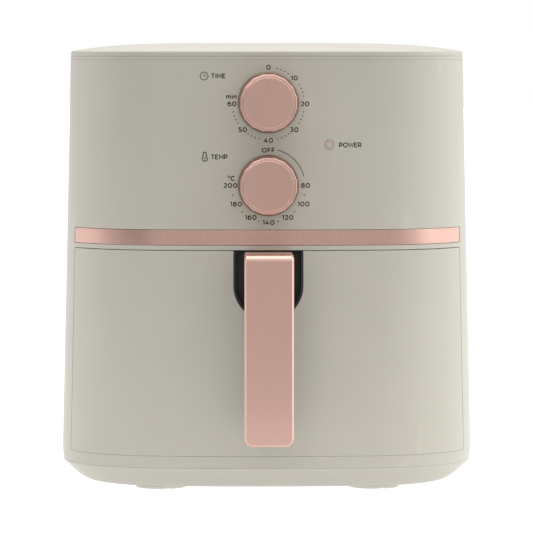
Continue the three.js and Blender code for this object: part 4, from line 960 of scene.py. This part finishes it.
def print_temperature(marks, z):
    """Degrees round the lower dial, a dot between numbers and an arc from OFF to the lowest."""
    centre = (0, z)
    numbers = [("OFF", 0, 25.1), ("80", 90, 26.4), ("100", 118, 28.2), ("120", 149, 26.5)]
    numbers += [("140", 180, 26.3), ("160", 209, 26.0), ("180", 240, 26.6), ("200", 270, 27.0)]
    for value, degrees, radius in numbers:
        marks.text(value, *polar(centre, radius, degrees), DIGIT_HEIGHT)
    x, y = polar(centre, 27.0, 270)
    marks.ribbon((x - 1.1, y + 6.3), 0.6, 0, 360, 0.42, 20)
    marks.text("C", x + 1.6, y + 5.0, DIGIT_HEIGHT)
    marks.ribbon(centre, 26.0, 14.4, 76, ARC_STROKE, 32)
    for degrees in (105, 135, 165, 195, 225, 255):
        marks.dot(*polar(centre, 26.4, degrees), DOT)


def print_labels(marks):
    """The words and small signs beside the dials and the lamp."""
    time_z, temp_z, power_z = 297.7, 240.3, 248.7
    clock = (-45.6, time_z)
    marks.ribbon(clock, 2.8, 0, 360, ARC_STROKE, 40)
    marks.trace([(clock[0], clock[1] + 1.7), clock, (clock[0] + 1.4, clock[1])], ARC_STROKE)
    marks.text("TIME", -40.7, time_z + 0.1, WORD_HEIGHT, 10.4, "LEFT")
    bulb = (-45.2, temp_z - 1.3)
    neck = 1.1
    marks.ribbon(bulb, 1.8, 30, 330, STROKE, 28)
    tube = [(bulb[0] + neck, bulb[1] + 1.4), (bulb[0] + neck, bulb[1] + 3.4)]
    tube += bow(bulb[0], bulb[1] + 3.6, neck, neck, 0, 180)
    tube += [(bulb[0] - neck, bulb[1] + 3.4), (bulb[0] - neck, bulb[1] + 1.4)]
    marks.trace(tube, STROKE)
    marks.dot(bulb[0], bulb[1] + 0.1, 0.55)
    marks.text("TEMP", -40.9, temp_z, WORD_HEIGHT, 11.9, "LEFT")
    marks.text("POWER", 50.2, power_z, WORD_HEIGHT, 16.0, "LEFT")


def make_print():
    marks = Print()
    timer_z, temperature_z = dial_centres()
    print_timer(marks, timer_z)
    print_temperature(marks, temperature_z)
    print_labels(marks)
    obj = raw_object("panel_print", marks.points, marks.faces)
    obj.data.materials.append(PRINT_INK)
    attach(obj, "housing")


def make_lamp():
    """A pale copper ring with a lens in the body's colour, flush in the face."""
    low, high = box_mm("power_lens")
    middle = (low + high) / 2
    centre = (middle.x, 0, middle.z)
    face, back = low.y, low.y + 6
    radius, ring_width = 3.2, 0.65
    bore = radius - ring_width
    profile = [(bore, face), (radius, face), (radius, back), (bore, back)]
    turned = lathe(profile[::-1], centre, "Y", 48, wrap=True)
    piece("power_lamp_ring", turned, "lamp_lens", "housing", ["power_lens"], 0.12)
    edge = bore - 0.02
    lens = [(0.3, face + 0.1), (edge * 0.6, face + 0.12), (edge, face + 0.3), (edge, back), (0.3, back)]
    window = lathe(lens[::-1], centre, "Y", 48)
    piece("power_lamp_window", window, "cream_shell", "housing", (), 0.08)


# ---- drawer and handle

SCOOP_LOW, SCOOP_HIGH = box_mm("handle_recess")
HANDLE_LOW, HANDLE_HIGH = box_mm("handle_cover")
SCOOP_HALF = SCOOP_HIGH.x + GAP
SCOOP_Z = SCOOP_LOW.z + SCOOP_HIGH.x  # centre of its round lower end


def scoop_outline(half, top):
    """The scoop in (x, z): down the left side, round the lower end and up the right side."""
    return [(-half, top), *bow(0, SCOOP_Z, half, half, 180, 360, 48), (half, top)]


def make_drawer_front():
    wall, middle_heights = 2.5, (60, 95, 125)
    heights = [SILL_Z + GAP / 2, *middle_heights, DRAWER_HIGH.z]
    skin = front_shell(heights, 0, wall, WRAP_Y - GAP - SEAM)
    scoop = prism_y(scoop_outline(SCOOP_HALF, DRAWER_HIGH.z + 10), FRONT_Y - 5, FRONT_Y + 12)
    piece("drawer_front_skin", skin, "cream_shell", "drawer", ["drawer_front"], 0.25, cuts=[scoop])


def make_scoop():
    """The black liner of the scoop: a wall round its edge and a flat floor."""
    half = SCOOP_HIGH.x
    wall = 1.4
    top = SCOOP_HIGH.z
    back = SCOOP_HIGH.y
    outer = scoop_outline(half, top)
    inner = scoop_outline(half - wall, top)
    rings = [[(x, back, z) for x, z in outer]]
    rings += [[(x, FRONT_Y + crown_drop(x) + GAP, z) for x, z in edge] for edge in (outer, inner)]
    rings.append([(x, back - wall, z) for x, z in inner])
    points, faces = loft(rings, closed_ring=False)
    n = len(outer)
    faces.append(tuple(range(n)))
    faces.append(tuple(reversed(range(3 * n, 4 * n))))
    faces.append((0, n, 2 * n, 3 * n))
    faces.append((4 * n - 1, 3 * n - 1, 2 * n - 1, n - 1))
    faces.append((n - 1, 0, 3 * n, 4 * n - 1))
    faces = [f[::-1] for f in faces]
    piece("handle_scoop_liner", (points, faces), "black_plastic", "drawer", ["handle_recess"], 0.2)


def grip_outline(half, foot, top, radius):
    """The handle's front view in (x, z), counter-clockwise: round at the foot, square at the top."""
    left = bow(radius - half, foot + radius, radius, radius, 180, 270, 12)
    right = bow(half - radius, foot + radius, radius, radius, 270, 360, 12)
    return [(-half, top), *left, *right, (half, top)]


def make_handle_cover():
    """The metallised skin: a chamfered plate down the front and a cap back over the arm."""
    half = HANDLE_HIGH.x
    front, back = HANDLE_LOW.y, HANDLE_HIGH.y
    foot, top = HANDLE_LOW.z, HANDLE_HIGH.z
    skin, cap, chamfer, corner = 5.5, 4.0, 3.6, 6.0
    grip = prism_y(grip_outline(half, foot, top, corner), front, back)
    behind = block(-half - 1, half + 1, front + skin, back + 1, foot - 1, top - cap)
    wedge_side = [(front - 1, top - chamfer - 1), (front + chamfer + 1, top + 1), (front - 1, top + 1)]
    wedge = capped([[(x, y, z) for y, z in wedge_side] for x in (-half - 1, half + 1)])
    piece("handle_cover_skin", grip, "rose_gold", "drawer", ["handle_cover"], 1.3, 1, cuts=[behind, wedge])


# ---- pan and crisper plate

def make_pan():
    low, high = box_mm("pan")
    rim, wall, taper, radius = 3.5, 1.2, 6.0, 55.0
    half = high.x - rim
    y0, y1 = low.y + rim, high.y - rim
    height = high.z - low.z
    levels = [(0, taper + 6), (0.6, taper + 4), (2, taper + 2), (4, taper + 0.8)]
    levels += [(7, taper * (1 - 7 / height)), (height * 0.5, taper * 0.5), (height - 3, taper * 3 / height)]
    edge = [(height - 1.5, -wall), (height - 1.5, -rim), (height - 0.4, -rim), (height, -rim + 0.5)]

    def turn(z, inset):
        return rounded_ring(half, y0, y1, radius, z, inset)

    outer = [turn(low.z + h, inset) for h, inset in levels + edge]
    inner = [turn(high.z, wall)]
    inner += [turn(low.z + h + wall, inset + wall) for h, inset in reversed(levels[:-1])]
    piece("pan_body", capped(outer + inner), "nonstick", "drawer", ["pan"], 0.25)


def slot_outline(x, y, length, width):
    r = width / 2
    reach = length / 2 - r
    return bow(x + reach, y, r, r, -90, 90, 8) + bow(x - reach, y, r, r, 90, 270, 8)


def flat_plate(name, loops, z0, z1, bevel):
    """A plate from plan outlines, the first one outside and the others holes, with rounded edges."""
    curve = bpy.data.curves.new(name, "CURVE")
    curve.dimensions = "2D"
    curve.fill_mode = "BOTH"
    curve.extrude = (z1 - z0) / 2 - bevel
    curve.bevel_depth = bevel
    curve.bevel_resolution = 2
    for loop in loops:
        spline = curve.splines.new("POLY")
        spline.points.add(len(loop) - 1)
        spline.use_cyclic_u = True
        for point, (x, y) in zip(spline.points, loop):
            point.co = (x, y, 0, 1)
    curve.offset = -bevel
    obj = add_object(name, curve)
    bpy.context.view_layer.update()
    mesh = bpy.data.meshes.new_from_object(obj)
    bpy.data.objects.remove(obj)
    mesh.transform(Matrix.Scale(MM, 4) @ Matrix.Translation((0, 0, (z0 + z1) / 2)))
    return add_object(name, mesh)


LOOP_RADIUS = 9.0  # of the finger loop, outside


def make_crisper_plate():
    low, high = box_mm("crisper_plate")
    sheet = 1.6
    columns, rows, length, width = 4, 6, 34.0, 7.0
    middle = (low.y + high.y) / 2
    half_x, half_y = high.x, (high.y - low.y) / 2
    radius, margin_x, margin_y = 45.0, 24, 34
    outline = [(x, y) for x, y, _ in rounded_ring(half_x, low.y, high.y, radius, 0)]
    pitch_x = (2 * half_x - margin_x) / columns
    pitch_y = (2 * half_y - margin_y) / rows
    loops = [outline]
    for row in range(rows):
        for column in range(columns):
            x = (column - (columns - 1) / 2) * pitch_x
            y = (row - (rows - 1) / 2) * pitch_y
            if math.hypot(x, y) > LOOP_RADIUS + length / 2:
                loops.append(slot_outline(x, middle + y, length, width))
    obj = flat_plate("crisper_plate_sheet", loops, low.z, low.z + sheet, 0.25)
    obj.data.materials.append(MATERIALS["nonstick"])
    notch, bite = 9.3, 1.75
    boolean(obj, [
        block(-notch, notch, low.y - 5, low.y + bite, 0, high.z),
        block(-notch, notch, high.y - bite, high.y + 5, 0, high.z),
        block(high.x - bite, high.x + 5, middle - notch, middle + notch, 0, high.z),
        block(low.x - 5, low.x + bite, middle - notch, middle + notch, 0, high.z),
    ])
    settle(obj, "plate", ["crisper_plate"], 0)
    make_lift_loop(low.z + sheet, high.z, middle)


def make_lift_loop(base_z, top_z, y):
    """The round finger loop on the plate's middle."""
    wire = 1.6
    radius = LOOP_RADIUS - wire
    centre_z = top_z - wire - radius
    foot = base_z - 0.8
    line = [(-radius, foot), *bow(0, centre_z, radius, radius, 180, 0, 24), (radius, foot)]
    path = [Vector((x, y, z)) for x, z in line]
    piece("crisper_plate_loop", rod(path, wire, 16), "nonstick", "plate", (), 0,
          material=MATERIALS["bright_steel"])


def rod(path, radius, sides):
    """A round rod along a path."""
    rings = []
    for i, point in enumerate(path):
        ahead = path[min(i + 1, len(path) - 1)] - path[max(i - 1, 0)]
        turn = ahead.to_track_quat("Z", "Y").to_matrix()
        circle = []
        for j in range(sides):
            angle = 2 * math.pi * j / sides
            spoke = Vector((radius * math.cos(angle), radius * math.sin(angle), 0))
            circle.append(tuple(point + turn @ spoke))
        rings.append(circle)
    return capped(rings)


# ---- nodes that stay as packed

def dress_cad_nodes():
    """Gives each CAD node that still shows its material and soft edges."""
    slots = {entry["node"]: entry["material_slot"] for entry in frame["record"]["subparts"]}
    fine = {"heating_element", "thermostat_capillary", "heater_guard"}
    for name, obj in frame["nodes"].items():
        if obj.hide_render:
            continue
        material = MATERIALS[slots[name]]
        obj.data.materials.clear()
        obj.data.materials.append(material)
        soften(obj, 0 if name in fine else 0.25, weld=True)


# ---- studio

# How bright the room is by direction: axis, where a ramp starts and ends along it, and its two values.
ROOM_LIGHT = [
    ("Y", -0.2, 0.5, 0.03, 0.56),
    ("Y", -1.0, -0.7, 0.86, 0.0),
    ("X", 0.35, 0.95, 0.0, 1.4),
    ("X", -0.98, -0.6, 0.62, 0.0),
    ("Z", 0.2, 0.95, 0.0, 1.6),
]
FLOOR_GLOW = 0.97
FLOOR_FADE = (-0.75, -0.3)  # the floor glows less from the second of these y, in metres, out to the first


def area_light(name, place, target, size, power):
    light = bpy.data.lights.new(name, "AREA")
    light.shape = "RECTANGLE"
    light.size, light.size_y = size
    light.energy = power
    obj = add_object(name, light)
    obj.location = place
    obj.rotation_euler = (Vector(target) - Vector(place)).to_track_quat("-Z", "Y").to_euler()


def combine(tree, operation, a, b):
    """Two values through a maths node."""
    node = tree.nodes.new("ShaderNodeMath")
    node.operation = operation
    tree.links.new(a, node.inputs[0])
    tree.links.new(b, node.inputs[1])
    return node.outputs[0]


def make_world():
    """A white room that is dim in front, towards the camera, and bright above, behind and at the sides."""
    world = bpy.data.worlds.new("studio")
    bpy.context.scene.world = world
    world.use_nodes = True
    nodes, links = world.node_tree.nodes, world.node_tree.links
    direction = nodes.new("ShaderNodeSeparateXYZ")
    links.new(nodes.new("ShaderNodeTexCoord").outputs["Generated"], direction.inputs[0])
    total = None
    for axis, start, end, low, high in ROOM_LIGHT:
        ramp = nodes.new("ShaderNodeMapRange")
        ramp.interpolation_type = "SMOOTHSTEP"
        fill(ramp, From_Min=start, From_Max=end, To_Min=low, To_Max=high)
        links.new(direction.outputs[axis], ramp.inputs["Value"])
        value = ramp.outputs["Result"]
        total = combine(world.node_tree, "ADD", total, value) if total else value
    room = nodes["Background"]
    room.inputs["Color"].default_value = (1, 1, 1, 1)
    links.new(total, room.inputs["Strength"])
    backdrop = nodes.new("ShaderNodeBackground")
    backdrop.inputs["Color"].default_value = (1, 1, 1, 1)
    backdrop.inputs["Strength"].default_value = 1.0
    path = nodes.new("ShaderNodeLightPath")
    mix = nodes.new("ShaderNodeMixShader")
    links.new(path.outputs["Is Camera Ray"], mix.inputs["Fac"])
    links.new(room.outputs["Background"], mix.inputs[1])
    links.new(backdrop.outputs["Background"], mix.inputs[2])
    links.new(mix.outputs["Shader"], nodes["World Output"].inputs["Surface"])


def make_floor():
    reach = 20000
    corners = [(-reach, -reach, 0), (reach, -reach, 0), (reach, reach, 0), (-reach, reach, 0)]
    obj = raw_object("studio_floor", corners, [(0, 1, 2, 3)])
    obj.location.z = -0.0001
    surface = Surface("studio_floor_paint")
    colour = (0.3, 0.3, 0.3, 1.0)
    material = surface.finish(colour, 0.7, 0.005, 0.03, 3.0, 0.01, patch=400.0)
    surface.shader.inputs["Emission Color"].default_value = (1, 1, 1, 1)
    place = surface.nodes.new("ShaderNodeSeparateXYZ")
    surface.links.new(surface.place, place.inputs[0])
    dim, lit = FLOOR_FADE
    glow = surface.ranged(place.outputs["Y"], 0.0, FLOOR_GLOW, dim, lit)
    seen = surface.nodes.new("ShaderNodeLightPath").outputs["Is Camera Ray"]
    brightest = combine(material.node_tree, "MAXIMUM", glow, seen)
    surface.links.new(brightest, surface.shader.inputs["Emission Strength"])
    obj.data.materials.append(material)


def make_camera():
    """A long lens at the height of the lid, a little to the left, tilted down to the middle."""
    target = Vector((-0.00135, FRONT_Y * MM, 0.1624))
    eye = Vector((-0.0426, FRONT_Y * MM - 2.943, 0.3158))
    data = bpy.data.cameras.new("camera")
    data.sensor_width = 36
    data.lens = 280
    data.clip_end = 100
    camera = add_object("camera", data)
    camera.location = eye
    camera.rotation_euler = (target - eye).to_track_quat("-Z", "Y").to_euler()
    bpy.context.scene.camera = camera


def make_studio():
    bpy.context.scene.view_settings.view_transform = "Standard"
    make_world()
    make_floor()
    aim = (0, 0, 0.18)
    area_light("softbox_right", (2.2, -0.5, 0.8), aim, (1.0, 1.8), 4)
    area_light("softbox_upper_left", (-0.92, -2.65, 1.18), aim, (0.3, 0.3), 2.2)
    area_light("softbox_overhead", (0, 0.05, 1.9), (0, 0, 0.3), (2.0, 1.6), 14)


make_camera()
make_studio()
make_housing()
make_trim_band()
make_lid()
make_base()
make_feet()
for dial_name, axis_z in zip(("timer", "temperature"), dial_centres()):
    make_collar(dial_name, axis_z)
    make_knob(dial_name, axis_z)
make_print()
make_lamp()
make_drawer_front()
make_scoop()
make_handle_cover()
make_pan()
make_crisper_plate()
dress_cad_nodes()

bpy.context.view_layer.update()
